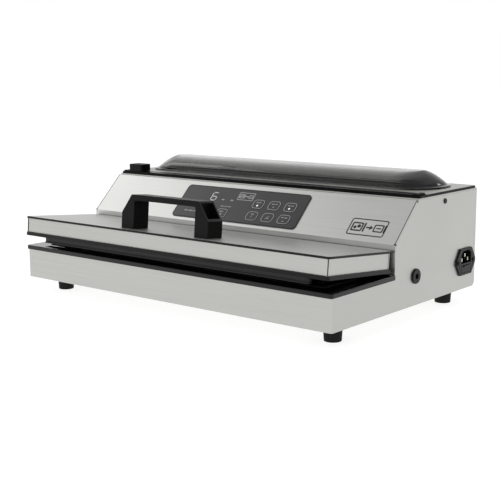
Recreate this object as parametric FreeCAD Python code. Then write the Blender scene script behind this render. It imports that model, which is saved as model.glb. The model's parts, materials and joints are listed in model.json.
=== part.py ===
import FreeCAD, Part

import math
import os

from FreeCAD import Placement, Rotation, Vector

# External vacuum sealer, 16 inch sealing length, with bag roll storage and bag cutter.
# Lengths are millimetres and angles are degrees.
# Everything is drawn in case coordinates: x from the middle plane to the right, y from the front
# wall to the rear, z from the bottom edge of the case upwards. save() moves each piece into the
# part's frame, whose origin is on the surface that the feet stand on, under the middle of the object.

# ---- driving dimensions ----
CASE_HALF_WIDTH = 235.0
CASE_DEPTH = 297.7
FRONT_HEIGHT = 35.5
CASE_TOP = 116.8
SHEET = 1.2
FOLD_RADIUS = 3.0
RELIEF_RADIUS = 1.2
CASE_CHAMFER = 4.0
FOOT_HEIGHT = 19.0
FRONT_TO_ORIGIN = 147.2

RISER_Y = 116.4
SLOPE_BOTTOM = 73.3
SLOPE_ANGLE = 44.3
SLOPE_TOP_Y = RISER_Y + (CASE_TOP - SLOPE_BOTTOM) / math.tan(math.radians(SLOPE_ANGLE))

DECK_HALF_WIDTH = 235.9
DECK_FRONT = -1.5
DECK_BACK = 116.1
DECK_TOP = 40.5
RIDGE_FRONT = 108.5
RIDGE_TOP = 41.7

LID_HALF_WIDTH = 233.2
LID_FRONT = -3.4
LID_BACK = 114.2
LID_BOTTOM = 44.1
LID_TOP = 67.9
LID_TRIM = 2.4
LID_SHEET = 0.9
LID_BASE = 4.3
LID_STEP = 1.8
LID_REST_ANGLE = 5.2
HINGE_Y = 105.0
HINGE_Z = 61.8
HINGE_X = (-170.0, 170.0)
HINGE_PIN = 2.0
EAR_RADIUS = 3.4
EAR_HALF_THICKNESS = 1.5

HANDLE_X = -4.0
HANDLE_HALF = 67.3
HANDLE_LEG = 19.5
HANDLE_HEIGHT = 40.0
HANDLE_BEAM = 6.5
HANDLE_Y = (7.5, 31.5)
HANDLE_CHAMFER = (15.0, 21.4)
HANDLE_BASE = LID_TOP + 0.1
HANDLE_WALL = 2.0
HANDLE_FLOOR = 4.0

SEAL_HALF_LENGTH = 203.0
SEAL_Y = 7.5
SEAL_FLOOR = 30.0
SEAL_TOP = 35.9
STRIP_LOW = 36.45
GASKET_HALF_X = 214.0
GASKET_FRONT = 17.0
GASKET_BACK = 84.0
GASKET_WIDTH = 6.0
CHANNEL_X = (-200.0, 200.0)
CHANNEL_FRONT = 27.0
CHANNEL_BACK = 74.0
CHANNEL_FLOOR = 26.0
TRAY_WALL = 1.6

TOP_PLATE = 1.4
FRAME_BOTTOM = CASE_TOP + TOP_PLATE
FRAME_TOP = 120.8
FRAME_FRONT = 165.5
RAIL_Y = 174.5
RAIL_TOP = 122.0
RAIL_HALF_LENGTH = 224.0

TROUGH_X = -3.0
TROUGH_Y = 244.5
TROUGH_AXIS_Z = 100.0
TROUGH_RADIUS = 39.5
TROUGH_HALF_LENGTH = 214.0
TROUGH_WALL = 2.0

COVER_HALF_LENGTH = 222.0
COVER_HALF_WIDTH = 41.5
COVER_BOTTOM = 121.6
COVER_HEIGHT = 18.8
COVER_CORNER = 38.0
COVER_WALL = 2.0
COVER_END_LEAN = 26.0
COVER_END_POWER = 1.35
COVER_POWER = 2.5
COVER_LEVELS = (0.0, 0.25, 0.48, 0.67, 0.82, 0.91, 0.965, 0.995)
COVER_FLANGE = 1.8
COVER_FLANGE_Y = (199.0, 288.6)
COVER_HINGE_Y = 292.4
COVER_HINGE_Z = 124.4
COVER_HINGE_X = (-150.0, 150.0)
COVER_PIN = 1.5

KNOB_X = -208.4
KNOB_LENGTH = 24.0
KNOB_WIDTH = 18.5
KNOB_TOP = 131.6

OVERLAY_HALF_LENGTH = 97.5
OVERLAY_LOW = 4.5
OVERLAY_HIGH = 55.6
OVERLAY_THICKNESS = 1.0
KEY_LENGTH = 17.4
KEY_HEIGHT = 14.0
KEY_CORNER = 4.8
KEY_COLUMNS = (28.0, 52.0, 76.2)
KEY_ROWS = (34.6, 16.4)
START_KEY = (-20.0, 15.8)
KEY_GAP = 0.3
KEY_PROUD = 0.25

INLET_Y = 271.9
INLET_Z = 33.1
INLET_HALF_Y = 22.5
INLET_HALF_Z = 15.9
INLET_FLAT = 13.4
INLET_BODY = (13.0, 14.2)
INLET_EAR = 2.6
INLET_FACE = CASE_HALF_WIDTH + 2.4
INLET_SCREWS = (-18.2, 18.2)
SOCKET_Z = (INLET_Z - 1.6, INLET_Z + 13.2)
SOCKET_HALF_Y = 11.8
SOCKET_CORNER = 4.5
DRAWER_Z = (INLET_Z - 13.2, INLET_Z - 4.2)
DRAWER_HALF_Y = 11.2
DRAWER_GAP = 0.3
PORT_Y = 159.3
PORT_Z = 33.0
PORT_RADIUS = 8.5
PORT_BORE = 3.2
PORT_DEPTH = 14.0
PORT_PROUD = 2.2

FOOT_X = 209.5
FOOT_Y = (38.5, 267.8)
FOOT_RADIUS = 10.6
FAN_X = -150.0
FAN_SIZE = 50.0
FAN_SHAFT = 1.5
MOTOR_Y = 160.0
MOTOR_Z = 38.0
MOTOR_RADIUS = 25.0
SHAFT_RADIUS = 3.0
RUNNING_GAP = 0.05
SCREW_HOLE = 1.55
CROSS_HALF_WIDTH = 0.4

PARTS = "parts"
X_AXIS = Vector(1, 0, 0)
Y_AXIS = Vector(0, 1, 0)
Z_AXIS = Vector(0, 0, 1)


# ---- shape helpers ----
def box(x, y, z):
    """A block from three (low, high) pairs."""
    size = (x[1] - x[0], y[1] - y[0], z[1] - z[0])
    return Part.makeBox(*size, Vector(x[0], y[0], z[0]))


def rounded_box(x, y, z, radius):
    """A block whose upright edges are rounded."""
    block = box(x, y, z)
    upright = [edge for edge in block.Edges if abs(edge.tangentAt(edge.FirstParameter).z) > 0.99]
    return block.makeFillet(radius, upright)


def rod(base, direction, radius, length):
    return Part.makeCylinder(radius, length, Vector(*base), direction)


def tube(base, direction, outer, inner, length):
    return rod(base, direction, outer, length).cut(rod(base, direction, inner, length))


def prism(points, direction, length):
    """A straight extrusion of the polygon through the given 3-D points."""
    corners = [Vector(*point) for point in points]
    face = Part.Face(Part.makePolygon(corners + corners[:1]))
    return face.extrude(direction * length)


def prism_x(outline, x):
    """Extrudes an outline of (y, z) points from x[0] to x[1]."""
    return prism([(x[0], y, z) for y, z in outline], X_AXIS, x[1] - x[0])


def frame_box(x, y, z, width, radius):
    """A rectangular ring with a rounded outline and the given width of its four runs."""
    outer = rounded_box(x, y, z, radius)
    inner = rounded_box(
        (x[0] + width, x[1] - width),
        (y[0] + width, y[1] - width),
        (z[0] - 1, z[1] + 1),
        max(radius - width, 0.5),
    )
    return outer.cut(inner)


def joined(shapes):
    """One solid made of touching shapes."""
    whole = shapes[0]
    for shape in shapes[1:]:
        whole = whole.fuse(shape)
    return whole.removeSplitter()


def middle_of(pair):
    return (pair[0] + pair[1]) / 2


def mirrored(shape):
    """The same shape on the other side of the middle plane."""
    return shape.mirror(Vector(0, 0, 0), X_AXIS)


def cut_all(shape, tools):
    for tool in tools:
        shape = shape.cut(tool)
    return shape


def screw(base, direction, head_radius, head_height, shank_radius, shank_length):
    """A pan head screw whose head stands on base and whose shank goes back into the object."""
    head = rod(base, direction, head_radius, head_height)
    rim = [edge for edge in head.Edges if edge.Closed and edge.CenterOfMass != Vector(*base)]
    head = head.makeFillet(head_height * 0.45, rim[-1:])
    shank = rod(base, direction * -1, shank_radius, shank_length)
    middle = Vector(*base) + direction * (head_height * 0.55)
    side = direction.cross(Z_AXIS) if abs(direction.z) < 0.9 else X_AXIS
    along = (side, direction.cross(side))
    arms = [cross_arm(middle, direction, way, head_radius * 0.6) for way in along]
    return cut_all(joined([head, shank]), arms)


def cross_arm(middle, out, along, half_length):
    """One arm of a screw's cross recess, starting at middle and open outwards."""
    end = along * half_length
    flank = out.cross(along) * CROSS_HALF_WIDTH
    corners = [middle + end + flank, middle + end - flank, middle - end - flank, middle - end + flank]
    return prism([tuple(corner) for corner in corners], out, 5.0)


def as_list(shapes):
    return shapes if isinstance(shapes, list) else [shapes]


def save(name, shapes):
    """Moves the pieces of one node into the part's frame and writes them as one STEP file."""
    solids = [solid for shape in as_list(shapes) for solid in shape.Solids]
    whole = solids[0] if len(solids) == 1 else Part.makeCompound(solids)
    whole = whole.copy()
    whole.translate(Vector(0, -FRONT_TO_ORIGIN, FOOT_HEIGHT))
    if not whole.isValid():
        print("invalid:", name)
    whole.exportStep(os.path.join(PARTS, name + ".step"))


def save_lid(name, shapes):
    """Lid pieces are drawn with the lid shut, and are stored slightly raised, as its springs hold it."""
    raised = []
    for shape in as_list(shapes):
        turned = shape.copy()
        turned.rotate(Vector(0, HINGE_Y, HINGE_Z), X_AXIS, -LID_REST_ANGLE)
        raised.append(turned)
    save(name, raised)


def on_slope(shape):
    """Places a shape drawn flat (x across, y up the slope, z outwards) on the sloping front panel."""
    placed = shape.copy()
    slope = Placement(Vector(0, RISER_Y, SLOPE_BOTTOM), Rotation(X_AXIS, SLOPE_ANGLE))
    placed.Placement = slope.multiply(placed.Placement)
    return placed


# ---- case ----
def side_outline():
    """Side wall seen from the right: low front, riser, slope, top, and a chamfered lower rear corner."""
    gap = SHEET + 0.05
    angle = math.radians(SLOPE_ANGLE)
    inner_y = RISER_Y + gap
    shift = gap * (1 / math.cos(angle) - math.tan(angle))
    inner_z = SLOPE_BOTTOM - shift
    top = CASE_TOP - 0.05
    top_y = inner_y + (top - inner_z) / math.tan(angle)
    return [
        (0, 0),
        (0, FRONT_HEIGHT),
        (inner_y, FRONT_HEIGHT),
        (inner_y, inner_z),
        (top_y, top),
        (CASE_DEPTH, top),
        (CASE_DEPTH, CASE_CHAMFER),
        (CASE_DEPTH - CASE_CHAMFER, 0),
    ]


def case_screw_places():
    """Where the case screws stand on the left and right walls, as (y, z)."""
    return [(221.5, 110.0)]


def body_shell():
    """Front wall and both side walls, folded from one sheet."""
    half = CASE_HALF_WIDTH
    outer = rounded_box((-half, half), (0, CASE_DEPTH + 20), (-1, CASE_TOP + 1), FOLD_RADIUS)
    inner = rounded_box(
        (SHEET - half, half - SHEET), (SHEET, CASE_DEPTH + 40), (-2, CASE_TOP + 2), FOLD_RADIUS - SHEET
    )
    shell = outer.cut(inner).common(prism_x(side_outline(), (-half - 1, half + 1)))
    holes = [
        rod((half - 5, PORT_Y, PORT_Z), X_AXIS, PORT_RADIUS - 2.0, 10),
        inlet_block((half - 5, half + 5), 0.2),
    ]
    for y, z in case_screw_places():
        holes += [rod((side * half - 5, y, z), X_AXIS, SCREW_HOLE, 10) for side in (-1, 1)]
    for offset in INLET_SCREWS:
        holes.append(rod((half - 5, INLET_Y + offset, INLET_Z), X_AXIS, SCREW_HOLE, 10))
    return cut_all(shell, holes + bend_reliefs())


def bend_reliefs():
    """Small round holes at both ends of the seams where the slope meets the side walls."""
    start = CASE_HALF_WIDTH - 2
    holes = []
    for y, z in ((RISER_Y + SHEET, SLOPE_BOTTOM - 0.2), (SLOPE_TOP_Y + 0.2, CASE_TOP - 1.6)):
        holes += [rod((side * start, y, z), X_AXIS * side, RELIEF_RADIUS, 5) for side in (-1, 1)]
    return holes


def fascia_outline():
    """Riser, slope and top flange of the fascia as one bent strip, seen from the right."""
    angle = math.radians(SLOPE_ANGLE)
    bend = SHEET * (1 / math.cos(angle) - math.tan(angle))
    top_bend = SHEET * math.tan(angle / 2)
    return [
        (RISER_Y, FRONT_HEIGHT + 0.05),
        (RISER_Y, SLOPE_BOTTOM),
        (SLOPE_TOP_Y, CASE_TOP),
        (SLOPE_TOP_Y + 6, CASE_TOP),
        (SLOPE_TOP_Y + 6, CASE_TOP - SHEET),
        (SLOPE_TOP_Y + top_bend, CASE_TOP - SHEET),
        (RISER_Y + SHEET, SLOPE_BOTTOM - bend),
        (RISER_Y + SHEET, FRONT_HEIGHT + 0.05),
    ]


def key_plate(centre, grow, z):
    """A rounded key outline, drawn flat, grown by grow on every side."""
    x, y = centre
    half_x = KEY_LENGTH / 2 + grow
    half_y = KEY_HEIGHT / 2 + grow
    return rounded_box((x - half_x, x + half_x), (y - half_y, y + half_y), z, KEY_CORNER + grow)


def key_centres():
    return [(x, y) for y in KEY_ROWS for x in KEY_COLUMNS]


def key_holes(z):
    """Openings that the keys work in."""
    return [key_plate(centre, KEY_GAP, z) for centre in key_centres() + [START_KEY]]


def fascia_panel():
    """Riser and sloping front of the housing, folded from one sheet, with openings for the keys."""
    half = CASE_HALF_WIDTH - 0.1
    panel = prism_x(fascia_outline(), (-half, half))
    wall = CASE_HALF_WIDTH - SHEET - 0.05
    corner = box((wall, half + 1), (SLOPE_TOP_Y, SLOPE_TOP_Y + 10), (0, CASE_TOP + 1))
    openings = [on_slope(hole) for hole in key_holes((-3, 3))]
    return cut_all(panel, [corner, mirrored(corner)] + bend_reliefs() + openings)


def rear_panel():
    """Rear wall with two fields of air slots, one of them behind the fan."""
    half = CASE_HALF_WIDTH - SHEET - 0.05
    panel = box((-half, half), (CASE_DEPTH - SHEET, CASE_DEPTH), (CASE_CHAMFER + 0.5, CASE_TOP - 0.1))
    slots = []
    for middle in (FAN_X, 60.0):
        for row in range(7):
            z = 12.0 + 6.0 * row
            slots.append(box((middle - 20, middle + 20), (CASE_DEPTH - 5, CASE_DEPTH + 5), (z, z + 2.5)))
    slots += [rod((x, CASE_DEPTH - 5, z), Y_AXIS, SCREW_HOLE, 10) for x, z in rear_screw_places()]
    return cut_all(panel, slots)


def rear_screw_places():
    return [(x, z) for x in (-222.0, 0.0, 222.0) for z in (14.0, 106.0)]


def bottom_plate():
    """Floor of the case, with holes for the foot screws and a field of air slots."""
    half = CASE_HALF_WIDTH - SHEET - 0.1
    y = (SHEET + 0.1, CASE_DEPTH - CASE_CHAMFER - 0.5)
    plate = rounded_box((-half, half), y, (0, SHEET), FOLD_RADIUS - SHEET)
    holes = [rod((x, y, -1), Z_AXIS, 2.05, 5) for x, y in foot_places()]
    for column in range(9):
        x = -60.0 + 10.0 * column
        holes.append(box((x, x + 3), (205, 245), (-1, 3)))
    return cut_all(plate, holes)


def foot_places():
    return [(x, y) for y in FOOT_Y for x in (-FOOT_X, FOOT_X)]


def feet():
    """Four tapered feet, each with a deep pocket for its screw head."""
    made = []
    for x, y in foot_places():
        base = Vector(x, y, -FOOT_HEIGHT)
        foot = Part.makeCone(FOOT_RADIUS - 1.2, FOOT_RADIUS, FOOT_HEIGHT, base, Z_AXIS)
        circles = [edge for edge in foot.Edges if edge.Closed]
        lower_rim = [edge for edge in circles if edge.CenterOfMass.z < -FOOT_HEIGHT + 0.1]
        foot = foot.makeFillet(0.8, lower_rim)
        pocket = rod((x, y, -FOOT_HEIGHT - 1), Z_AXIS, 4.6, 9)
        drill = rod((x, y, -15), Z_AXIS, 2.05, 16)
        made.append(cut_all(foot, [pocket, drill]))
    return made


def foot_screws():
    return [screw((x, y, -11.0), Z_AXIS * -1, 4.0, 2.6, 2.0, 16.0) for x, y in foot_places()]


def case_screws():
    """Pan head screws of the side walls and of the rear panel."""
    made = []
    for y, z in case_screw_places():
        for side in (-1, 1):
            made.append(screw((side * CASE_HALF_WIDTH, y, z), X_AXIS * side, 3.1, 0.8, 1.5, 8.0))
    made += [screw((x, CASE_DEPTH, z), Y_AXIS, 3.0, 1.3, 1.5, 8.0) for x, z in rear_screw_places()]
    return made


# ---- deck ----
def deck_plate():
    """Black deck with the grooves of seal and gasket, the vacuum channel and a low ridge at the rear."""
    half = DECK_HALF_WIDTH
    plate = rounded_box((-half, half), (DECK_FRONT, DECK_BACK + 8), (FRONT_HEIGHT + 0.05, DECK_TOP), 3.0)
    plate = plate.common(box((-300, 300), (-10, DECK_BACK), (0, 100)))
    top_edges = [edge for edge in plate.Edges if edge.BoundBox.ZMin > DECK_TOP - 0.01]
    plate = plate.makeFillet(1.0, [edge for edge in top_edges if edge.BoundBox.YMin < DECK_BACK - 1])
    tray = box((-216, 216), (SHEET + 0.3, 90), (CHANNEL_FLOOR - 2.0, FRONT_HEIGHT + 0.05))
    ridge = box((2 - half, half - 2), (RIDGE_FRONT, DECK_BACK), (DECK_TOP - 1, RIDGE_TOP))
    deck = joined([plate, tray, ridge])
    seal_groove = box(along_seal(2.5), (2.6, 12.6), (SEAL_FLOOR, 60))
    channel = rounded_box(CHANNEL_X, (CHANNEL_FRONT, CHANNEL_BACK), (CHANNEL_FLOOR, 60), 6.0)
    return cut_all(deck, [seal_groove, channel, gasket_ring(1.0, (DECK_TOP - 2.5, 60))])


def gasket_ring(grow, z):
    """A gasket's closed loop in plan, grown by grow on both sides."""
    return frame_box(
        (-GASKET_HALF_X - grow, GASKET_HALF_X + grow),
        (GASKET_FRONT - grow, GASKET_BACK + grow),
        z,
        GASKET_WIDTH + 2 * grow,
        8.0,
    )


def lower_gasket():
    return gasket_ring(0.9, (DECK_TOP - 2.5, DECK_TOP + 0.3))


def across_seal(half_width):
    """The (low, high) pair of a strip this wide on each side of the seal's middle line."""
    return (SEAL_Y - half_width, SEAL_Y + half_width)


def along_seal(extra):
    return (-SEAL_HALF_LENGTH - extra, SEAL_HALF_LENGTH + extra)


def seal_bar():
    block = box(along_seal(1), across_seal(4.1), (SEAL_FLOOR, SEAL_TOP))
    return block.cut(box(along_seal(5), across_seal(1.6), (SEAL_TOP - 0.2, SEAL_TOP + 1)))


def heating_wire():
    return box(along_seal(0), across_seal(1.5), (SEAL_TOP - 0.2, SEAL_TOP))


def release_tape():
    return box(along_seal(1), across_seal(4.1), (SEAL_TOP, SEAL_TOP + 0.2))


def drip_tray():
    """Thin lift-out tray that lines the vacuum channel, with a grip tab at each end."""
    x = CHANNEL_X[1] - 0.8
    y = (CHANNEL_FRONT + 0.8, CHANNEL_BACK - 0.8)
    outer = rounded_box((-x, x), y, (CHANNEL_FLOOR, DECK_TOP - 1.0), 5.2)
    inner_x = x - TRAY_WALL
    inner_y = (y[0] + TRAY_WALL, y[1] - TRAY_WALL)
    inner = rounded_box((-inner_x, inner_x), inner_y, (CHANNEL_FLOOR + 1.4, 60), 3.8)
    middle = middle_of(y)
    tab = box((x - 14.0, x - 1.0), (middle - 6, middle + 6), (DECK_TOP - 3.0, DECK_TOP - 1.4))
    return joined([outer.cut(inner), tab, mirrored(tab)])


# ---- lid ----
def lid_outline(inset, z):
    half = LID_HALF_WIDTH - inset
    return rounded_box((-half, half), (LID_FRONT + inset, LID_BACK - inset), z, 3.2 - 0.6 * inset)


def hinge_notches():
    """Slots in the lid's rear that the hinge ears pass through as the lid turns."""
    reach = EAR_HALF_THICKNESS + 1.2
    z = (LID_BOTTOM - 2, LID_TOP - LID_TRIM - 0.5)
    return [box((x - reach, x + reach), (HINGE_Y - EAR_RADIUS - 2, LID_BACK + 2), z) for x in HINGE_X]


def lid_top_sheet():
    """Stainless sheet let into the top trim, a hair proud of it."""
    return lid_outline(0.7, (LID_TOP - LID_SHEET, LID_TOP + 0.1))


def lid_trim():
    trim = lid_outline(0.0, (LID_TOP - LID_TRIM, LID_TOP))
    return trim.cut(lid_outline(0.7, (LID_TOP - LID_SHEET, LID_TOP + 5)))


def lid_skirt():
    """Stainless band round the lid, open above and below."""
    z = (LID_BOTTOM + LID_BASE, LID_TOP - LID_TRIM)
    band = lid_outline(LID_STEP, z).cut(lid_outline(LID_STEP + 1.0, (z[0] - 1, z[1] + 1)))
    return cut_all(band, hinge_notches())


def lid_base():
    """Black underside plate with the upper vacuum channel and the grooves of gasket and strip."""
    plate = lid_outline(0.0, (LID_BOTTOM, LID_BOTTOM + LID_BASE))
    channel = rounded_box(CHANNEL_X, (CHANNEL_FRONT, CHANNEL_BACK), (0, LID_BOTTOM + 2.0), 6.0)
    strip_groove = box(along_seal(1.2), across_seal(3.4), (0, LID_BOTTOM + 2))
    tools = [channel, strip_groove, gasket_ring(0.0, (0, LID_BOTTOM + 1.5))]
    return cut_all(plate, tools + hinge_notches())


def lid_gasket():
    return gasket_ring(-0.1, (DECK_TOP + 0.6, LID_BOTTOM + 1.5))


def pressure_strip():
    """Silicone strip that presses the bag on the seal bar, with flared feet at both ends of its section."""
    rear_half = [
        (3.0, STRIP_LOW),
        (3.4, STRIP_LOW + 0.8),
        (2.4, STRIP_LOW + 2.2),
        (2.4, LID_BOTTOM - 2.4),
        (3.2, LID_BOTTOM - 1.2),
        (3.2, LID_BOTTOM + 2.0),
    ]
    front_half = [(-y, z) for y, z in reversed(rear_half)]
    return prism_x([(SEAL_Y + y, z) for y, z in rear_half + front_half], along_seal(1))


def handle_well(side):
    """Deep screw well that opens through the sloping outer face of one leg."""
    outer = HANDLE_X + side * (HANDLE_HALF - HANDLE_WALL)
    inner = HANDLE_X + side * (HANDLE_HALF - HANDLE_LEG + HANDLE_WALL)
    x = (min(outer, inner), max(outer, inner))
    y = (HANDLE_Y[0] + HANDLE_WALL, HANDLE_Y[1] - HANDLE_WALL)
    return box(x, y, (HANDLE_BASE + HANDLE_FLOOR, HANDLE_BASE + HANDLE_HEIGHT - HANDLE_WALL))


def lid_handle():
    """Bridge handle: two hollow legs with sloping outer faces, and a beam between them."""
    outer = HANDLE_HALF
    top = HANDLE_BASE + HANDLE_HEIGHT
    run, drop = HANDLE_CHAMFER
    outline = [
        (-outer, HANDLE_BASE),
        (-outer, top - drop),
        (run - outer, top),
        (outer - run, top),
        (outer, top - drop),
        (outer, HANDLE_BASE),
        (outer - HANDLE_LEG, HANDLE_BASE),
        (outer - HANDLE_LEG, top - HANDLE_BEAM),
        (HANDLE_LEG - outer, top - HANDLE_BEAM),
        (HANDLE_LEG - outer, HANDLE_BASE),
    ]
    corners = [(HANDLE_X + x, HANDLE_Y[0], z) for x, z in outline]
    bridge = prism(corners, Y_AXIS, HANDLE_Y[1] - HANDLE_Y[0])
    soft = [
        edge
        for edge in bridge.Edges
        if abs(edge.tangentAt(edge.FirstParameter).y) > 0.99
        and edge.BoundBox.ZMin > HANDLE_BASE + 1
    ]
    bridge = bridge.makeFillet(2.0, soft)
    drills = [rod((x, middle_of(HANDLE_Y), HANDLE_BASE - 1), Z_AXIS, 2.05, 10) for x in handle_screw_xs()]
    return cut_all(bridge, [handle_well(-1), handle_well(1)] + drills)


def handle_screw_xs():
    return (HANDLE_X - HANDLE_HALF + 9.3, HANDLE_X + HANDLE_HALF - 9.3)


def handle_screws():
    """Screws in the wells of the handle legs. Their heads stand on the well floors."""
    places = [(x, middle_of(HANDLE_Y), HANDLE_BASE + HANDLE_FLOOR) for x in handle_screw_xs()]
    return [screw(place, Z_AXIS, 3.6, 2.4, 2.0, 4.0) for place in places]


def lid_hinge_knuckles():
    """Two bearing blocks at each hinge, standing on the lid's underside plate."""
    made = []
    floor = LID_BOTTOM + LID_BASE
    for x in HINGE_X:
        for side in (-1, 1):
            near = x + side * (EAR_HALF_THICKNESS + 1.2)
            far = near + side * 4.0
            y = (HINGE_Y - 5.5, LID_BACK - LID_STEP - 1.2)
            block = box((min(near, far), max(near, far)), y, (floor, HINGE_Z + 3.5))
            made.append(block.cut(rod((near - 10, HINGE_Y, HINGE_Z), X_AXIS, HINGE_PIN, 20)))
    return made


def lid_hinge_pins():
    reach = EAR_HALF_THICKNESS + 5.2
    return [rod((x - reach, HINGE_Y, HINGE_Z), X_AXIS, HINGE_PIN, 2 * reach + 16) for x in HINGE_X]


def lid_springs():
    """Torsion springs on the hinge pins, drawn as the sleeve that each coil fills."""
    reach = EAR_HALF_THICKNESS + 5.5
    return [tube((x + reach, HINGE_Y, HINGE_Z), X_AXIS, 3.4, HINGE_PIN, 14.0) for x in HINGE_X]


def lid_hinge_brackets():
    """Fixed ears on the riser, each with a foot plate and a round eye for the hinge pin."""
    made = []
    for x in HINGE_X:
        span = (x - EAR_HALF_THICKNESS, x + EAR_HALF_THICKNESS)
        eye = rod((span[0], HINGE_Y, HINGE_Z), X_AXIS, EAR_RADIUS, span[1] - span[0])
        onward = Vector(0, 1.0, -2.0).normalize()
        side = Vector(0, -onward.z, onward.y) * EAR_RADIUS
        centre = Vector(0, HINGE_Y, HINGE_Z)
        tip = centre + onward * 19.0
        corners = (centre + side, tip + side, tip - side, centre - side)
        web = prism_x([(corner.y, corner.z) for corner in corners], span)
        plate = box((x - 10, x + 10), (RISER_Y - 1.2, RISER_Y - 0.05), (RIDGE_TOP + 0.1, 53.0))
        room = box((-300, 300), (0, RISER_Y - 0.05), (RIDGE_TOP + 0.1, 80))
        whole = joined([eye, web, plate]).common(room)
        made.append(whole.cut(rod((x - 10, HINGE_Y, HINGE_Z), X_AXIS, HINGE_PIN + RUNNING_GAP, 20)))
    return made


# ---- top, rail, cutter and roll storage ----
def trough_mouth(grow, z):
    """Opening above the roll trough, grown by grow. Its corners stay under the cover's round ends."""
    x = TROUGH_HALF_LENGTH - TROUGH_WALL + grow
    y = TROUGH_RADIUS - TROUGH_WALL + grow
    return rounded_box((TROUGH_X - x, TROUGH_X + x), (TROUGH_Y - y, TROUGH_Y + y), z, 30.0)


def rail_hole(grow, z):
    x = RAIL_HALF_LENGTH + grow
    return box((-x, x), (RAIL_Y - 5.3 - grow, RAIL_Y + 5.3 + grow), z)


def top_plate():
    """Stainless top that carries the rail, the trough and the cover hinge."""
    half = CASE_HALF_WIDTH - 0.1
    plate = box((-half, half), (FRAME_FRONT - 1.5, CASE_DEPTH - 0.1), (CASE_TOP + 0.05, FRAME_BOTTOM))
    return cut_all(plate, [trough_mouth(0, (100, 130)), rail_hole(0.1, (100, 130))])


def top_frame():
    """Black moulded frame on the top, seen as a thin dark line under the lighter top sheet."""
    half = CASE_HALF_WIDTH - 0.6
    frame = rounded_box((-half, half), (FRAME_FRONT, CASE_DEPTH - 1.6), (FRAME_BOTTOM, FRAME_TOP), 2.0)
    return cut_all(frame, [trough_mouth(0, (100, 130)), rail_hole(0.1, (100, 130))])


def top_sheet():
    """Light top sheet round the cover, behind the cutter rail."""
    half = CASE_HALF_WIDTH - 1.6
    sheet = rounded_box((-half, half), (RAIL_Y + 9.0, CASE_DEPTH - 2.6), (FRAME_TOP, FRAME_TOP + 0.6), 2.0)
    x = COVER_HALF_LENGTH - 1.0
    y = COVER_HALF_WIDTH - 1.0
    hole = rounded_box((TROUGH_X - x, TROUGH_X + x), (TROUGH_Y - y, TROUGH_Y + y), (100, 130), COVER_CORNER)
    return sheet.cut(hole)


def u_block(radius, top, x):
    """A solid with a half-round bottom and straight walls."""
    round_part = rod((x[0], TROUGH_Y, TROUGH_AXIS_Z), X_AXIS, radius, x[1] - x[0])
    upper = box(x, (TROUGH_Y - radius, TROUGH_Y + radius), (TROUGH_AXIS_Z, top))
    lower = box(x, (TROUGH_Y - radius, TROUGH_Y + radius), (0, TROUGH_AXIS_Z))
    return round_part.common(lower).fuse(upper).removeSplitter()


def roll_trough():
    """Black trough that holds the bag roll under the cover."""
    top = CASE_TOP + 0.05
    outer = u_block(TROUGH_RADIUS, top, (TROUGH_X - TROUGH_HALF_LENGTH, TROUGH_X + TROUGH_HALF_LENGTH))
    reach = TROUGH_HALF_LENGTH - TROUGH_WALL
    inner = u_block(TROUGH_RADIUS - TROUGH_WALL, top + 5, (TROUGH_X - reach, TROUGH_X + reach))
    return outer.cut(inner)


def cutter_rail():
    """Rail with a T-shaped channel that the bag cutter slides in, and a raised stop at each end."""
    flange = box((-231, 231), (RAIL_Y - 8.5, RAIL_Y + 8.5), (FRAME_TOP, RAIL_TOP))
    block = box((-RAIL_HALF_LENGTH, RAIL_HALF_LENGTH), (RAIL_Y - 5.3, RAIL_Y + 5.3), (109.5, FRAME_TOP))
    stop = box((225.5, 231), (RAIL_Y - 8.5, RAIL_Y + 8.5), (RAIL_TOP, RAIL_TOP + 0.8))
    run = (1.5 - RAIL_HALF_LENGTH, RAIL_HALF_LENGTH - 1.5)
    channel = box(run, (RAIL_Y - 4.0, RAIL_Y + 4.0), (111.5, 118.5))
    slot = box(run, (RAIL_Y - 1.6, RAIL_Y + 1.6), (118, 130))
    return cut_all(joined([flange, block, stop, mirrored(stop)]), [channel, slot])


def cutter_knob():
    """Ribbed knob with a stem through the slot and a foot that holds it in the channel."""
    x = (KNOB_X - KNOB_LENGTH / 2, KNOB_X + KNOB_LENGTH / 2)
    y = (RAIL_Y - KNOB_WIDTH / 2, RAIL_Y + KNOB_WIDTH / 2)
    bottom = RAIL_TOP + 0.3
    cap = rounded_box(x, y, (bottom, KNOB_TOP), 2.5)
    cap = cap.makeFillet(1.2, [edge for edge in cap.Edges if edge.BoundBox.ZMin > KNOB_TOP - 0.01])
    grooves = []
    for step in range(6):
        middle = KNOB_X + 3.4 * (step - 2.5)
        grooves.append(box((middle - 0.6, middle + 0.6), (0, 400), (KNOB_TOP - 1.0, KNOB_TOP + 2)))
    stem = box((KNOB_X - 7, KNOB_X + 7), (RAIL_Y - 1.3, RAIL_Y + 1.3), (118.0, bottom))
    foot = box((KNOB_X - 9, KNOB_X + 9), (RAIL_Y - 3.7, RAIL_Y + 3.7), (113.8, 118.2))
    blade_slot = box((KNOB_X - 5, KNOB_X + 5), (RAIL_Y - 0.25, RAIL_Y + 0.25), (113, 119))
    return joined([cut_all(cap, grooves), stem, foot]).cut(blade_slot)


def cutter_blade():
    """Small pointed blade held in the knob's foot."""
    outline = [(-5.0, 119.0), (5.0, 119.0), (5.0, 114.0), (0.0, 111.9), (-5.0, 114.0)]
    return prism([(KNOB_X + x, RAIL_Y - 0.25, z) for x, z in outline], Y_AXIS, 0.5)


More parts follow.
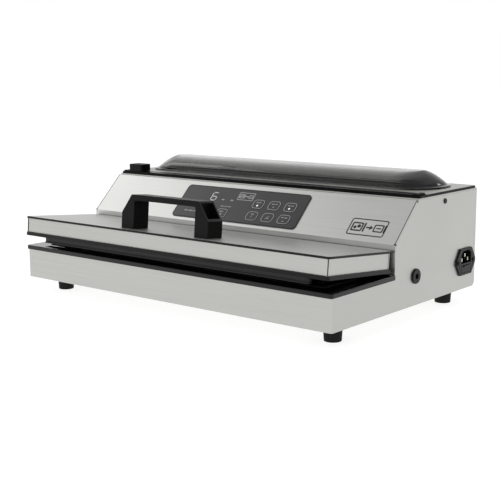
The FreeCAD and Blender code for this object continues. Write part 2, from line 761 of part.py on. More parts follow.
def cover_outline(half_x, half_y, radius, z):
    """Closed rectangle with rounded corners, centred over the trough."""
    diagonal = radius / math.sqrt(2)
    arcs = []
    for across, up in ((-1, -1), (1, -1), (1, 1), (-1, 1)):
        centre = Vector(TROUGH_X + across * (half_x - radius), TROUGH_Y + up * (half_y - radius), z)
        on_end = centre + Vector(across * radius, 0, 0)
        on_side = centre + Vector(0, up * radius, 0)
        middle = centre + Vector(across * diagonal, up * diagonal, 0)
        arcs.append((on_end, middle, on_side) if across == up else (on_side, middle, on_end))
    edges = []
    for arc, following in zip(arcs, arcs[1:] + arcs[:1]):
        edges.append(Part.Arc(*arc).toShape())
        edges.append(Part.LineSegment(arc[2], following[0]).toShape())
    return Part.Wire(edges)


def dome(inset):
    """Domed body of the cover, inset by inset from its outer surface."""
    height = COVER_HEIGHT - inset
    wires = []
    for share in COVER_LEVELS:
        narrowing = (1 - share**COVER_POWER) ** (1 / COVER_POWER)
        half_x = COVER_HALF_LENGTH - inset - COVER_END_LEAN * share**COVER_END_POWER
        half_y = (COVER_HALF_WIDTH - inset) * narrowing
        radius = min(COVER_CORNER - inset, 0.95 * half_y)
        wires.append(cover_outline(half_x, half_y, radius, COVER_BOTTOM + height * share))
    return Part.makeLoft(wires, True, False)


def roll_cover():
    """See-through domed cover with a flange, hinged at the rear by its own two pins."""
    x = COVER_HALF_LENGTH + 3.0
    across = (TROUGH_X - x, TROUGH_X + x)
    levels = (COVER_BOTTOM, COVER_BOTTOM + COVER_FLANGE)
    flange = rounded_box(across, COVER_FLANGE_Y, levels, COVER_CORNER + 3.0)
    shell = dome(0.0).fuse(flange).cut(dome(COVER_WALL))
    arms = []
    for x in COVER_HINGE_X:
        for side in (-1, 1):
            near = x + side * 9.0
            far = x + side * 13.0
            span = (min(near, far), max(near, far))
            eye = rod((span[0], COVER_HINGE_Y, COVER_HINGE_Z), X_AXIS, 2.6, span[1] - span[0])
            foot = box(span, (286.0, COVER_HINGE_Y), (COVER_BOTTOM, COVER_HINGE_Z + 2.0))
            arms.append(eye.fuse(foot))
        arms.append(rod((x - 12, COVER_HINGE_Y, COVER_HINGE_Z), X_AXIS, COVER_PIN, 24))
    return joined([shell] + arms)


def cover_hinge_eyes():
    """Fixed eyes on the top sheet that the cover's pins turn in."""
    made = []
    for x in COVER_HINGE_X:
        span = (x - 8.5, x + 8.5)
        eye = rod((span[0], COVER_HINGE_Y, COVER_HINGE_Z), X_AXIS, 2.7, span[1] - span[0])
        foot = box(span, (COVER_HINGE_Y - 2.2, COVER_HINGE_Y + 2.2), (FRAME_TOP + 0.6, COVER_HINGE_Z))
        bore = rod((span[0] - 1, COVER_HINGE_Y, COVER_HINGE_Z), X_AXIS, COVER_PIN + RUNNING_GAP, 20)
        made.append(joined([eye, foot]).cut(bore))
    return made


# ---- controls ----
def control_overlay():
    """Dark panel on the slope with an opening for each key."""
    x = (-OVERLAY_HALF_LENGTH, OVERLAY_HALF_LENGTH)
    plate = rounded_box(x, (OVERLAY_LOW, OVERLAY_HIGH), (0.0, OVERLAY_THICKNESS), 5.0)
    return on_slope(cut_all(plate, key_holes((-1, 5))))


def key(centre):
    """A key cap with a wider flange behind the panel."""
    cap = key_plate(centre, 0.0, (-SHEET - 0.6, OVERLAY_THICKNESS + KEY_PROUD))
    flange = key_plate(centre, 1.2, (-SHEET - 1.6, -SHEET - 0.2))
    return on_slope(cap.fuse(flange).removeSplitter())


def control_board():
    """Circuit board behind the keys, held on four posts, with a few components on its rear."""
    front = -3.8
    rear = -5.4
    pieces = [box((-96, 96), (5.5, 54.5), (rear, front))]
    for x in (-92.0, 92.0):
        pieces += [rod((x, y, front), Z_AXIS, 2.2, -SHEET - front) for y in (9.0, 51.0)]
    pieces += [box((x, x + 12), (20, 32), (rear - 2.6, rear)) for x in (-70.0, -20.0, 30.0)]
    return on_slope(joined(pieces))


# ---- right side: power inlet and accessory port ----
def inlet_outline():
    """Eight-sided flange outline with an ear for a screw at each end, as (y, z) points."""
    lower = [
        (-INLET_HALF_Y, -INLET_EAR),
        (-INLET_FLAT, -INLET_HALF_Z),
        (INLET_FLAT, -INLET_HALF_Z),
        (INLET_HALF_Y, -INLET_EAR),
    ]
    upper = [(-y, -z) for y, z in lower]
    return [(INLET_Y + y, INLET_Z + z) for y, z in lower + upper]


def inlet_block(x, grow):
    """The inlet's body behind its flange, or with a growth the hole it stands in."""
    half_y, half_z = (half + grow for half in INLET_BODY)
    return box(x, (INLET_Y - half_y, INLET_Y + half_y), (INLET_Z - half_z, INLET_Z + half_z))


def power_inlet():
    """Inlet body with a recessed three-pin socket above and a fuse drawer slot below."""
    wall = CASE_HALF_WIDTH
    flange = prism_x(inlet_outline(), (wall, INLET_FACE))
    body = inlet_block((wall - 26, wall), 0)
    low, high = SOCKET_Z
    left = INLET_Y - SOCKET_HALF_Y
    right = INLET_Y + SOCKET_HALF_Y
    mouth = [
        (left, low),
        (right, low),
        (right, high - SOCKET_CORNER),
        (right - SOCKET_CORNER, high),
        (left + SOCKET_CORNER, high),
        (left, high - SOCKET_CORNER),
    ]
    socket = prism_x(mouth, (wall - 14, INLET_FACE + 5))
    slot = box((wall - 23, INLET_FACE + 5), (INLET_Y - DRAWER_HALF_Y, INLET_Y + DRAWER_HALF_Y), DRAWER_Z)
    drills = [rod((wall - 5, INLET_Y + offset, INLET_Z), X_AXIS, SCREW_HOLE, 12) for offset in INLET_SCREWS]
    return cut_all(joined([flange, body]), [socket, slot] + drills)


def inlet_pins():
    """Three flat pins standing up from the floor of the socket, with solder tags behind."""
    wall = CASE_HALF_WIDTH
    made = []
    for across, up in ((-7.0, 3.8), (7.0, 3.8), (0.0, 9.2)):
        y = INLET_Y + across
        z = (SOCKET_Z[0] + up - 2.0, SOCKET_Z[0] + up + 2.0)
        made.append(box((wall - 14, wall + 0.5), (y - 1.0, y + 1.0), z))
        made.append(box((wall - 33, wall - 26), (y - 0.4, y + 0.4), z))
    return made


def inlet_screws():
    places = [(INLET_FACE, INLET_Y + offset, INLET_Z) for offset in INLET_SCREWS]
    return [screw(place, X_AXIS, 2.4, 1.0, 1.5, 9.0) for place in places]


def fuse_drawer():
    """Small drawer with a grip lip that holds the glass fuse."""
    wall = CASE_HALF_WIDTH
    half_y = DRAWER_HALF_Y - DRAWER_GAP
    z = (DRAWER_Z[0] + DRAWER_GAP, DRAWER_Z[1] - DRAWER_GAP)
    block = box((wall - 22, INLET_FACE), (INLET_Y - half_y, INLET_Y + half_y), z)
    pocket = box((wall - 20.5, wall - 3), (INLET_Y - 9.4, INLET_Y + 9.4), (z[0] + 1.5, z[1] + 1))
    grip = box((INLET_FACE - 1, INLET_FACE + 1.0), (INLET_Y - 6, INLET_Y + 6), (z[1] - 1.8, z[1]))
    return joined([block.cut(pocket), grip])


def accessory_port():
    """Round hose socket with a collar outside the case and a barbed tail inside it."""
    face = CASE_HALF_WIDTH
    collar = rod((face, PORT_Y, PORT_Z), X_AXIS, PORT_RADIUS, PORT_PROUD)
    circles = [edge for edge in collar.Edges if edge.Closed]
    rim = [edge for edge in circles if edge.CenterOfMass.x > face + PORT_PROUD - 0.1]
    collar = collar.makeFillet(0.9, rim)
    barrel = rod((face - 18, PORT_Y, PORT_Z), X_AXIS, PORT_RADIUS - 2.3, 18)
    tail = rod((face - 30, PORT_Y, PORT_Z), X_AXIS, 2.6, 12)
    bore = rod((face + PORT_PROUD - PORT_DEPTH, PORT_Y, PORT_Z), X_AXIS, PORT_BORE, PORT_DEPTH + 1)
    passage = rod((face - 31, PORT_Y, PORT_Z), X_AXIS, 1.3, 25)
    return joined([collar, barrel, tail]).cut(bore).cut(passage)


# ---- inside the case ----
def pump_motor():
    """Motor can with end caps, lying across the case, on a bent bracket."""
    can = rod((-55, MOTOR_Y, MOTOR_Z), X_AXIS, MOTOR_RADIUS, 92)
    cap = rod((37, MOTOR_Y, MOTOR_Z), X_AXIS, MOTOR_RADIUS - 4, 6)
    foot = box((-45, 27), (MOTOR_Y - 22, MOTOR_Y + 22), (SHEET, SHEET + 2))
    web = box((-30, 12), (MOTOR_Y - 8, MOTOR_Y + 8), (SHEET + 1, MOTOR_Z - MOTOR_RADIUS + 3))
    bore = rod((-60, MOTOR_Y, MOTOR_Z), X_AXIS, SHAFT_RADIUS + RUNNING_GAP, 110)
    hollow = rod((-50, MOTOR_Y, MOTOR_Z), X_AXIS, 16.0, 80)
    return joined([can, cap, foot, web]).cut(bore).cut(hollow)


def pump_heads():
    """Crank housing with a piston head on each side."""
    housing = box((-105, -56), (MOTOR_Y - 20, MOTOR_Y + 20), (12, 64))
    heads = [rod((-80, MOTOR_Y + side * 20, MOTOR_Z), Y_AXIS * side, 17.0, 16) for side in (-1, 1)]
    stub = rod((-80, MOTOR_Y, 64), Z_AXIS, 3.0, 8)
    legs = [box((-104, -57), (y, y + 6), (SHEET, 12)) for y in (MOTOR_Y - 18, MOTOR_Y + 12)]
    crank_room = rod((-98, MOTOR_Y, MOTOR_Z), X_AXIS, 13.5, 35)
    bore = rod((-64, MOTOR_Y, MOTOR_Z), X_AXIS, SHAFT_RADIUS + RUNNING_GAP, 10)
    return cut_all(joined([housing] + heads + legs + [stub]), [crank_room, bore])


def pump_rotor():
    """Armature, shaft and crank disc, which turn together."""
    shaft = rod((-90, MOTOR_Y, MOTOR_Z), X_AXIS, SHAFT_RADIUS, 132)
    armature = rod((-42, MOTOR_Y, MOTOR_Z), X_AXIS, 14.5, 62)
    crank = rod((-88, MOTOR_Y, MOTOR_Z), X_AXIS, 12.0, 12)
    pin = rod((-94, MOTOR_Y, MOTOR_Z + 7), X_AXIS, 2.0, 8)
    return joined([shaft, armature, crank, pin])


def transformer():
    """Laminated core with a winding, for the seal element's low voltage."""
    core = box((102, 172), (140, 180), (SHEET, 60))
    windows = [box((114, 124), (130, 190), (13, 48)), box((150, 160), (130, 190), (13, 48))]
    winding = box((116, 158), (137, 183), (15, 46))
    return cut_all(core, windows).fuse(winding).removeSplitter()


def power_board():
    """Relay and supply board on four posts."""
    pieces = [box((-212, -126), (128, 196), (10, 11.6))]
    pieces += [rod((x, y, SHEET), Z_AXIS, 2.5, 10 - SHEET) for x in (-207, -131) for y in (133, 191)]
    pieces += [
        box((-200, -184), (140, 168), (11.6, 26)),
        box((-176, -160), (136, 160), (11.6, 22)),
        box((-150, -134), (165, 190), (11.6, 24)),
    ]
    pieces += [rod((x, 182, 11.6), Z_AXIS, 6.0, 18) for x in (-190, -172)]
    return joined(pieces)


def solenoid_valve():
    """Release valve with its coil and two hose stubs."""
    coil = rod((80, 132, SHEET), Z_AXIS, 9.0, 26)
    head = box((70, 90), (122, 142), (27.2, 36))
    stubs = [rod((58, 132, 31.5), X_AXIS, 2.6, 12), rod((90, 132, 31.5), X_AXIS, 2.6, 10)]
    return joined([coil, head] + stubs)


def hose(points, radius):
    """A round hose along straight runs joined by tangent arcs."""
    corners = [Vector(*point) for point in points]
    edges = []
    start = corners[0]
    for before, corner, after in zip(corners, corners[1:], corners[2:]):
        inward = (before - corner).normalize()
        onward = (after - corner).normalize()
        half_turn = (math.pi - inward.getAngle(onward)) / 2
        trim = 0.42 * min((before - corner).Length, (after - corner).Length)
        bend_radius = trim / math.tan(half_turn)
        first = corner + inward * trim
        last = corner + onward * trim
        bisector = (inward + onward).normalize()
        middle = corner + bisector * (bend_radius / math.cos(half_turn) - bend_radius)
        edges.append(Part.LineSegment(start, first).toShape())
        edges.append(Part.Arc(first, middle, last).toShape())
        start = last
    edges.append(Part.LineSegment(start, corners[-1]).toShape())
    path = Part.Wire(edges)
    direction = corners[1] - corners[0]
    profile = Part.Wire([Part.makeCircle(radius, corners[0], direction)])
    return path.makePipeShell([profile], True, False)


def vacuum_hoses():
    """Silicone hoses from the pump to the valve, and from the valve to the accessory port."""
    pump_to_valve = [
        (-80, MOTOR_Y, 72.2),
        (-80, MOTOR_Y, 86),
        (-58, 154, 90),
        (-22, 145, 82),
        (14, 137, 70),
        (38, 132, 54),
        (42, 132, 31.5),
        (57.8, 132, 31.5),
    ]
    valve_to_port = [
        (100.2, 132, 31.5),
        (116, 132, 31.5),
        (142, 128, 32),
        (168, 128, 33),
        (184, 138, 34),
        (188, PORT_Y, PORT_Z),
        (204.8, PORT_Y, PORT_Z),
    ]
    return [hose(pump_to_valve, 3.0), hose(valve_to_port, 3.0)]


def fan_frame():
    """Square fan housing against the rear panel."""
    half = FAN_SIZE / 2
    middle = SHEET + half + 1.5
    y = (CASE_DEPTH - SHEET - 15, CASE_DEPTH - SHEET - 0.1)
    housing = box((FAN_X - half, FAN_X + half), y, (middle - half, middle + half))
    housing = housing.cut(rod((FAN_X, y[0] - 1, middle), Y_AXIS, half - 1.5, 20))
    hub = rod((FAN_X, y[1] - 4, middle), Y_AXIS, 9.0, 4)
    spokes = [
        box((FAN_X - half + 0.5, FAN_X + half - 0.5), (y[1] - 2.5, y[1]), (middle - 1.2, middle + 1.2)),
        box((FAN_X - 1.2, FAN_X + 1.2), (y[1] - 2.5, y[1]), (middle - half + 0.5, middle + half - 0.5)),
    ]
    legs = [box((x, x + 6), y, (SHEET, middle - half)) for x in (FAN_X - half, FAN_X + half - 6)]
    bore = rod((FAN_X, y[0], middle), Y_AXIS, FAN_SHAFT + RUNNING_GAP, 14)
    return joined([housing, hub] + spokes + legs).cut(bore)


def fan_rotor():
    """Fan hub with seven pitched blades on a short shaft."""
    middle = SHEET + FAN_SIZE / 2 + 1.5
    front = CASE_DEPTH - SHEET - 14.5
    hub = rod((FAN_X, front, middle), Y_AXIS, 9.0, 9)
    shaft = rod((FAN_X, front + 8, middle), Y_AXIS, FAN_SHAFT, 5)
    blades = []
    for step in range(7):
        blade = box((-4.5, 4.5), (front + 4.0, front + 5.2), (8.0, 21.5))
        blade.rotate(Vector(0, front + 4.6, 0), Z_AXIS, 35)
        blade.rotate(Vector(0, 0, 0), Y_AXIS, 360 / 7 * step)
        blade.translate(Vector(FAN_X, 0, middle))
        blades.append(blade)
    return joined([hub, shaft] + blades)


# ---- build ----
FIXED = {
    "body_shell": body_shell,
    "fascia_panel": fascia_panel,
    "rear_panel": rear_panel,
    "bottom_plate": bottom_plate,
    "feet": feet,
    "foot_screws": foot_screws,
    "case_screws": case_screws,
    "deck_plate": deck_plate,
    "lower_gasket": lower_gasket,
    "seal_bar": seal_bar,
    "heating_wire": heating_wire,
    "release_tape": release_tape,
    "drip_tray": drip_tray,
    "lid_hinge_brackets": lid_hinge_brackets,
    "top_plate": top_plate,
    "top_frame": top_frame,
    "top_sheet": top_sheet,
    "roll_trough": roll_trough,
    "cutter_rail": cutter_rail,
    "cutter_knob": cutter_knob,
    "cutter_blade": cutter_blade,
    "roll_cover": roll_cover,
    "cover_hinge_eyes": cover_hinge_eyes,
    "control_overlay": control_overlay,
    "control_board": control_board,
    "power_inlet": power_inlet,
    "inlet_pins": inlet_pins,
    "inlet_screws": inlet_screws,
    "fuse_drawer": fuse_drawer,
    "accessory_port": accessory_port,
    "pump_motor": pump_motor,
    "pump_heads": pump_heads,
    "pump_rotor": pump_rotor,
    "transformer": transformer,
    "power_board": power_board,
    "solenoid_valve": solenoid_valve,
    "vacuum_hoses": vacuum_hoses,
    "fan_frame": fan_frame,
    "fan_rotor": fan_rotor,
}
ON_LID = {
    "lid_top_sheet": lid_top_sheet,
    "lid_trim": lid_trim,
    "lid_skirt": lid_skirt,
    "lid_base": lid_base,
    "lid_gasket": lid_gasket,
    "pressure_strip": pressure_strip,
    "lid_handle": lid_handle,
    "handle_screws": handle_screws,
    "lid_hinge_knuckles": lid_hinge_knuckles,
    "lid_hinge_pins": lid_hinge_pins,
    "lid_springs": lid_springs,
}


def build():
    os.makedirs(PARTS, exist_ok=True)
    for name, make in FIXED.items():
        save(name, make())
    for name, make in ON_LID.items():
        save_lid(name, make())
    for number, centre in enumerate(key_centres(), start=1):
        save(f"key_{number}", key(centre))
    save("start_key", key(START_KEY))


build()
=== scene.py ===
"""Looks of an external vacuum sealer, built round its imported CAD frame.

Lengths are metres in the row frame, and millimetres in case, lid and panel coordinates.
"""

import json
import math

import bmesh
import bpy
from mathutils import Matrix, Vector


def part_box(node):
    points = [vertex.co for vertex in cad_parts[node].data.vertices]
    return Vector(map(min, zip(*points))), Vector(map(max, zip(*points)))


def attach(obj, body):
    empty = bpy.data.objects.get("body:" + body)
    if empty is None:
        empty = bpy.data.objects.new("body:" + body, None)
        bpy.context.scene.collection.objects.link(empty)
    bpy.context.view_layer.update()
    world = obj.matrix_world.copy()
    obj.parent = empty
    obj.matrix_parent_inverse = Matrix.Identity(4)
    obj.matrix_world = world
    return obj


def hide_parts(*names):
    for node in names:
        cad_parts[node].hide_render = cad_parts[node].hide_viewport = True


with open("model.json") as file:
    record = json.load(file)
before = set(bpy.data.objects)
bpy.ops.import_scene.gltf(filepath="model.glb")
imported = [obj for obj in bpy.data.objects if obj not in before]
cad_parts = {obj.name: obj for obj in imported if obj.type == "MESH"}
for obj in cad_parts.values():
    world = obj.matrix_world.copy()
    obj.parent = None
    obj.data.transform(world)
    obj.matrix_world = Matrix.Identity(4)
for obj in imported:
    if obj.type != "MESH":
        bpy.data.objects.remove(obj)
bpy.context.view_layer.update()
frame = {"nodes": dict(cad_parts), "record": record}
MM = 0.001
nodes = frame["nodes"]

# ---- measures of the frame ----
# Case coordinates are millimetres: x from the middle plane, y from the front wall, z from the bottom edge.
CASE_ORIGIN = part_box("body_shell")[0]
SLOPE_ANGLE = math.radians(44.3)
SLOPE_START = (116.4, 73.3)
SLOPE_UP = Vector((0, math.cos(SLOPE_ANGLE), math.sin(SLOPE_ANGLE)))
SLOPE_OUT = Vector((0, -math.sin(SLOPE_ANGLE), math.cos(SLOPE_ANGLE)))
SHEET_FACE = 0.0
PANEL_FACE = 1.0
KEY_FACE = 1.25
INK_MM = 0.06
HINGE_AXIS = (105.0, 61.8)
LID_REST = math.radians(5.2)
FLOOR_REACH = 12.0
ROOM_TOP = 0.66
ROOM_SIDE = 0.12
FLOOR_GLOW = 0.80


def case_point(x, y, z):
    """A point in case coordinates, in the row frame."""
    return Vector((x * MM, CASE_ORIGIN.y + y * MM, CASE_ORIGIN.z + z * MM))


def lid_point(x, y, z):
    """A point of the lid, given where it is with the lid shut, at the lid's rest pose."""
    across = y - HINGE_AXIS[0]
    up = z - HINGE_AXIS[1]
    turned_y = across * math.cos(LID_REST) + up * math.sin(LID_REST)
    turned_z = up * math.cos(LID_REST) - across * math.sin(LID_REST)
    return case_point(x, HINGE_AXIS[0] + turned_y, HINGE_AXIS[1] + turned_z)


def slope_matrix(out):
    """Places flat artwork on the sloping panel: x across, y up the slope, out from the sheet, in mm."""
    origin = case_point(0, *SLOPE_START) + SLOPE_OUT * out * MM
    axes = Matrix((Vector((1, 0, 0)), SLOPE_UP, SLOPE_OUT)).transposed().to_4x4()
    return Matrix.Translation(origin) @ axes @ Matrix.Scale(MM, 4)


# ---- material helpers ----
RANGE_SOCKETS = ("From Min", "To Min", "From Max", "To Max")
MIX_SOCKETS = (6, 7)


class Nodes:
    """A short way to build one material's node tree."""

    def __init__(self, name):
        self.material = bpy.data.materials.new(name)
        self.material.use_nodes = True
        self.tree = self.material.node_tree
        self.shader = self.tree.nodes["Principled BSDF"]

    def add(self, kind, **values):
        node = self.tree.nodes.new(kind)
        for key, value in values.items():
            if key in node.inputs:
                node.inputs[key].default_value = value
            else:
                setattr(node, key, value)
        return node

    def link(self, output, target):
        self.tree.links.new(output, target)

    def set(self, **values):
        for key, value in values.items():
            self.shader.inputs[key.replace("_", " ")].default_value = value
        return self

    def coords(self, scale=(1, 1, 1)):
        """Object coordinates stretched by scale."""
        source = self.add("ShaderNodeTexCoord")
        mapping = self.add("ShaderNodeMapping")
        mapping.inputs["Scale"].default_value = scale
        self.link(source.outputs["Object"], mapping.inputs["Vector"])
        return mapping.outputs["Vector"]

    def noise(self, scale, detail=3.0, roughness=0.55, stretch=(1, 1, 1)):
        texture = self.add("ShaderNodeTexNoise", Scale=scale, Detail=detail, Roughness=roughness)
        self.link(self.coords(stretch), texture.inputs["Vector"])
        return texture.outputs["Fac"]

    def span(self, value, low, high, from_low=0.3, from_high=0.7):
        """Maps a 0 to 1 pattern on to the range low to high."""
        mapped = self.add("ShaderNodeMapRange")
        for key, number in zip(RANGE_SOCKETS, (from_low, low, from_high, high)):
            mapped.inputs[key].default_value = number
        self.link(value, mapped.inputs["Value"])
        return mapped.outputs["Result"]

    def mix(self, factor, first, second):
        """Mixes two colours by a pattern. Each is a plain colour or the output of another node."""
        mixer = self.add("ShaderNodeMix", data_type="RGBA")
        self.link(factor, mixer.inputs["Factor"])
        for place, colour in zip(MIX_SOCKETS, (first, second)):
            if isinstance(colour, tuple):
                mixer.inputs[place].default_value = (*colour, 1)
            else:
                self.link(colour, mixer.inputs[place])
        return mixer.outputs[2]

    def bump(self, height, strength, distance):
        bump = self.add("ShaderNodeBump", Strength=strength, Distance=distance)
        self.link(height, bump.inputs["Height"])
        self.link(bump.outputs["Normal"], self.shader.inputs["Normal"])

    def colour(self, output):
        self.link(output, self.shader.inputs["Base Color"])

    def rough(self, output):
        self.link(output, self.shader.inputs["Roughness"])


def shade(tint, factor):
    """A tint made darker or lighter."""
    return tuple(min(1.0, factor * part) for part in tint)


def brushed_steel(name, grain, tint=(0.52, 0.524, 0.50), roughness=(0.38, 0.46)):
    """Stainless sheet with a fine grain along one axis: grain is 0 for X, 1 for Y and 2 for Z."""
    made = Nodes(name).set(Metallic=1.0)
    stretch = [900.0, 900.0, 900.0]
    stretch[grain] = 9.0
    lines = made.noise(1.0, 4.0, 0.62, stretch)
    clouds = made.noise(9.0, 2.0)
    made.colour(made.mix(made.span(lines, 0, 1), shade(tint, 0.93), shade(tint, 1.04)))
    both = made.add("ShaderNodeMath", operation="ADD")
    made.link(made.span(lines, 0, 0.6), both.inputs[0])
    made.link(made.span(clouds, 0, 0.4), both.inputs[1])
    made.rough(made.span(both.outputs[0], roughness[0], roughness[1], 0, 1))
    made.bump(lines, 0.10, 0.00006)
    return made.material


def moulded(name, tint, roughness, grain_size=1500.0, bump=0.12, coat=0.0, specular=0.2):
    """Moulded plastic: a faint even texture and soft cloudy changes of gloss."""
    made = Nodes(name).set(Coat_Weight=coat, Coat_Roughness=0.06, Specular_IOR_Level=specular)
    grain = made.noise(grain_size, 2.0, 0.5)
    clouds = made.noise(14.0, 3.0)
    made.colour(made.mix(made.span(clouds, 0, 1), shade(tint, 0.85), shade(tint, 1.15)))
    made.rough(made.span(clouds, roughness[0], roughness[1]))
    made.bump(grain, bump, 0.00004)
    return made.material


def rubbery(name, tint, roughness=(0.62, 0.8)):
    """Rubber, foam or soft hose: a matte surface with a coarser texture."""
    return moulded(name, tint, roughness, 900.0, 0.35)


def polished(name, tint, roughness):
    """Plated or turned metal with faint tool marks."""
    made = Nodes(name).set(Metallic=1.0)
    marks = made.noise(260.0, 3.0)
    made.colour(made.mix(made.span(marks, 0, 1), shade(tint, 0.88), tint))
    made.rough(made.span(marks, roughness[0], roughness[1]))
    made.bump(marks, 0.05, 0.00003)
    return made.material


def smoked_plastic_with_painted_light(name):
    """Clear smoke-tinted plastic, polished, with a painted reflection that turns it lighter at grazing angles
    and painted shade that makes it darker where it curves down at the right end.
    """
    made = Nodes(name).set(Transmission_Weight=1.0, IOR=1.4, Specular_IOR_Level=0.2)
    waves = made.noise(6.0, 1.0)
    grazing = made.add("ShaderNodeLayerWeight", Blend=0.35)
    facing = grazing.outputs["Facing"]
    # Painted reflection: the colour runs towards almost white at grazing angles.
    painted_rim_reflection = (0.95, 0.95, 0.94)
    middle = made.mix(made.span(facing, 0, 1, 0.3, 0.95), (0.29, 0.29, 0.285), painted_rim_reflection)
    # Painted shade: near the right end the colour is almost black, lighter only at the most grazing angles.
    end = made.mix(made.span(facing, 0, 1, 0.75, 0.98), (0.03, 0.03, 0.03), painted_rim_reflection)
    place = made.add("ShaderNodeSeparateXYZ")
    made.link(made.coords(), place.inputs[0])
    # The painted shade takes over from x 0.172 to 0.202 m, at the right end of the cover.
    made.colour(made.mix(made.span(place.outputs["X"], 0, 1, 0.172, 0.202), middle, end))
    made.rough(made.span(waves, 0.0, 0.015))
    return made.material


def ink(name, tint, glow=0.0):
    """Printed ink, or a lit mark when glow is above 0."""
    made = Nodes(name)
    speckle = made.noise(700.0, 2.0)
    made.colour(made.mix(made.span(speckle, 0, 1), shade(tint, 0.9), tint))
    made.rough(made.span(speckle, 0.42, 0.55))
    if glow:
        made.shader.inputs["Emission Color"].default_value = (*tint, 1)
        made.shader.inputs["Emission Strength"].default_value = glow
    return made.material


def circuit_board(name):
    """Green board with lighter copper tracks."""
    made = Nodes(name)
    tracks = made.add("ShaderNodeTexBrick", Scale=160.0)
    made.link(made.coords(), tracks.inputs["Vector"])
    tracks.inputs["Color1"].default_value = (0.02, 0.16, 0.06, 1)
    tracks.inputs["Color2"].default_value = (0.03, 0.20, 0.08, 1)
    tracks.inputs["Mortar"].default_value = (0.07, 0.32, 0.14, 1)
    made.colour(tracks.outputs["Color"])
    made.rough(made.span(made.noise(50.0), 0.25, 0.4))
    return made.material


def woven_tape(name):
    """Coated glass cloth with a visible weave."""
    made = Nodes(name)
    weave = made.add("ShaderNodeTexChecker", Scale=1600.0)
    made.link(made.coords(), weave.inputs["Vector"])
    weave.inputs["Color1"].default_value = (0.22, 0.15, 0.08, 1)
    weave.inputs["Color2"].default_value = (0.30, 0.21, 0.12, 1)
    made.colour(weave.outputs["Color"])
    made.rough(made.span(made.noise(60.0), 0.35, 0.5))
    made.bump(weave.outputs["Fac"], 0.3, 0.00004)
    return made.material


STEEL = brushed_steel("steel_grain_across", 0)
# A lighter copy of the same brushed steel: painted light for the lid top sheet and the fascia panel.
STEEL_PAINTED_LIGHTER = brushed_steel("steel_painted_lighter", 0, (0.59, 0.594, 0.575))
MATERIALS = {
    "stainless": STEEL,
    "deck_black": moulded("deck_gloss", (0.004, 0.004, 0.0042), (0.07, 0.12), 700, 0.02, 0.25),
    "lid_black": moulded("lid_satin", (0.004, 0.004, 0.004), (0.22, 0.32)),
    "frame_black": moulded("frame_gloss", (0.003, 0.003, 0.003), (0.2, 0.3), specular=0.08),
    "handle_black": moulded("handle_grained", (0.004, 0.004, 0.004), (0.32, 0.44), 1400, 0.3, specular=0.12),
    "knob_black": moulded("knob_grained", (0.004, 0.004, 0.004), (0.34, 0.46), 1400, 0.3, specular=0.12),
    "trough_black": moulded("trough_matte", (0.02, 0.02, 0.02), (0.45, 0.6)),
    "smoked_cover": smoked_plastic_with_painted_light("smoked_clear_with_painted_light"),
    "panel_black": moulded("panel_membrane", (0.022, 0.022, 0.0225), (0.34, 0.42), 1100, 0.08, specular=0.5),
    "key_black": moulded("key_membrane", (0.020, 0.020, 0.0205), (0.34, 0.42), 1100, 0.08, specular=0.5),
    "rubber_black": rubbery("foot_rubber", (0.006, 0.006, 0.006)),
    "foam_gasket": rubbery("gasket_foam", (0.03, 0.03, 0.03), (0.8, 0.95)),
    "silicone_strip": rubbery("strip_silicone", (0.022, 0.022, 0.022), (0.4, 0.5)),
    "seal_bar_black": moulded("seal_bar", (0.02, 0.02, 0.02), (0.4, 0.5)),
    "heating_alloy": polished("heating_ribbon", (0.55, 0.52, 0.48), (0.25, 0.4)),
    "release_cloth": woven_tape("release_tape"),
    "tray_grey": moulded("tray_satin", (0.03, 0.03, 0.03), (0.3, 0.4)),
    "screw_black": polished("screw_blackened", (0.03, 0.03, 0.03), (0.3, 0.45)),
    "screw_steel": polished("screw_plated", (0.55, 0.55, 0.54), (0.18, 0.3)),
    "hinge_steel": polished("hinge_plated", (0.42, 0.42, 0.42), (0.25, 0.4)),
    "blade_steel": polished("blade_ground", (0.7, 0.7, 0.7), (0.12, 0.2)),
    "inlet_black": moulded("inlet_moulding", (0.005, 0.005, 0.005), (0.28, 0.4)),
    "pin_brass": polished("contact_plated", (0.72, 0.68, 0.58), (0.2, 0.3)),
    "motor_steel": polished("motor_can", (0.32, 0.33, 0.34), (0.3, 0.45)),
    "pump_alloy": polished("pump_casting", (0.55, 0.55, 0.56), (0.4, 0.6)),
    "core_steel": polished("core_laminations", (0.22, 0.2, 0.19), (0.4, 0.6)),
    "board_green": circuit_board("board_green"),
    "hose_clear": rubbery("hose_milky", (0.55, 0.55, 0.52), (0.35, 0.45)),
    "fan_black": moulded("fan_black", (0.015, 0.015, 0.015), (0.35, 0.5)),
}
LIGHT_INK = ink("print_light", (0.36, 0.36, 0.365))
BRIGHT_INK = ink("print_bright", (0.50, 0.50, 0.51))
LAMP_SOFT = ink("lamp_soft", (0.42, 0.42, 0.43))
# Dark print, also used as painted shade inside the bend relief holes.
DARK_INK_AND_PAINTED_SHADE = ink("print_dark_and_painted_shade", (0.01, 0.01, 0.01))
LAMP = ink("lamp_white", (0.95, 0.96, 1.0), 0.35)
DIGIT = ink("digit_lit", (0.62, 0.63, 0.65), 0.12)

# ---- CAD nodes: materials, soft edges, even shading ----
EDGE_MM = {
    "body_shell": 0.5,
    "fascia_panel": 0.5,
    "deck_plate": 0.3,
    "lid_top_sheet": 0.15,
    "lid_trim": 0.25,
    "lid_skirt": 0.2,
    "lid_base": 0.4,
    "lid_handle": 0.45,
    "top_frame": 0.4,
    "top_sheet": 0.15,
    "cutter_rail": 0.3,
    "cutter_knob": 0.25,
    "control_overlay": 0.12,
    "power_inlet": 0.35,
    "fuse_drawer": 0.3,
}
DEFAULT_EDGE_MM = 0.12
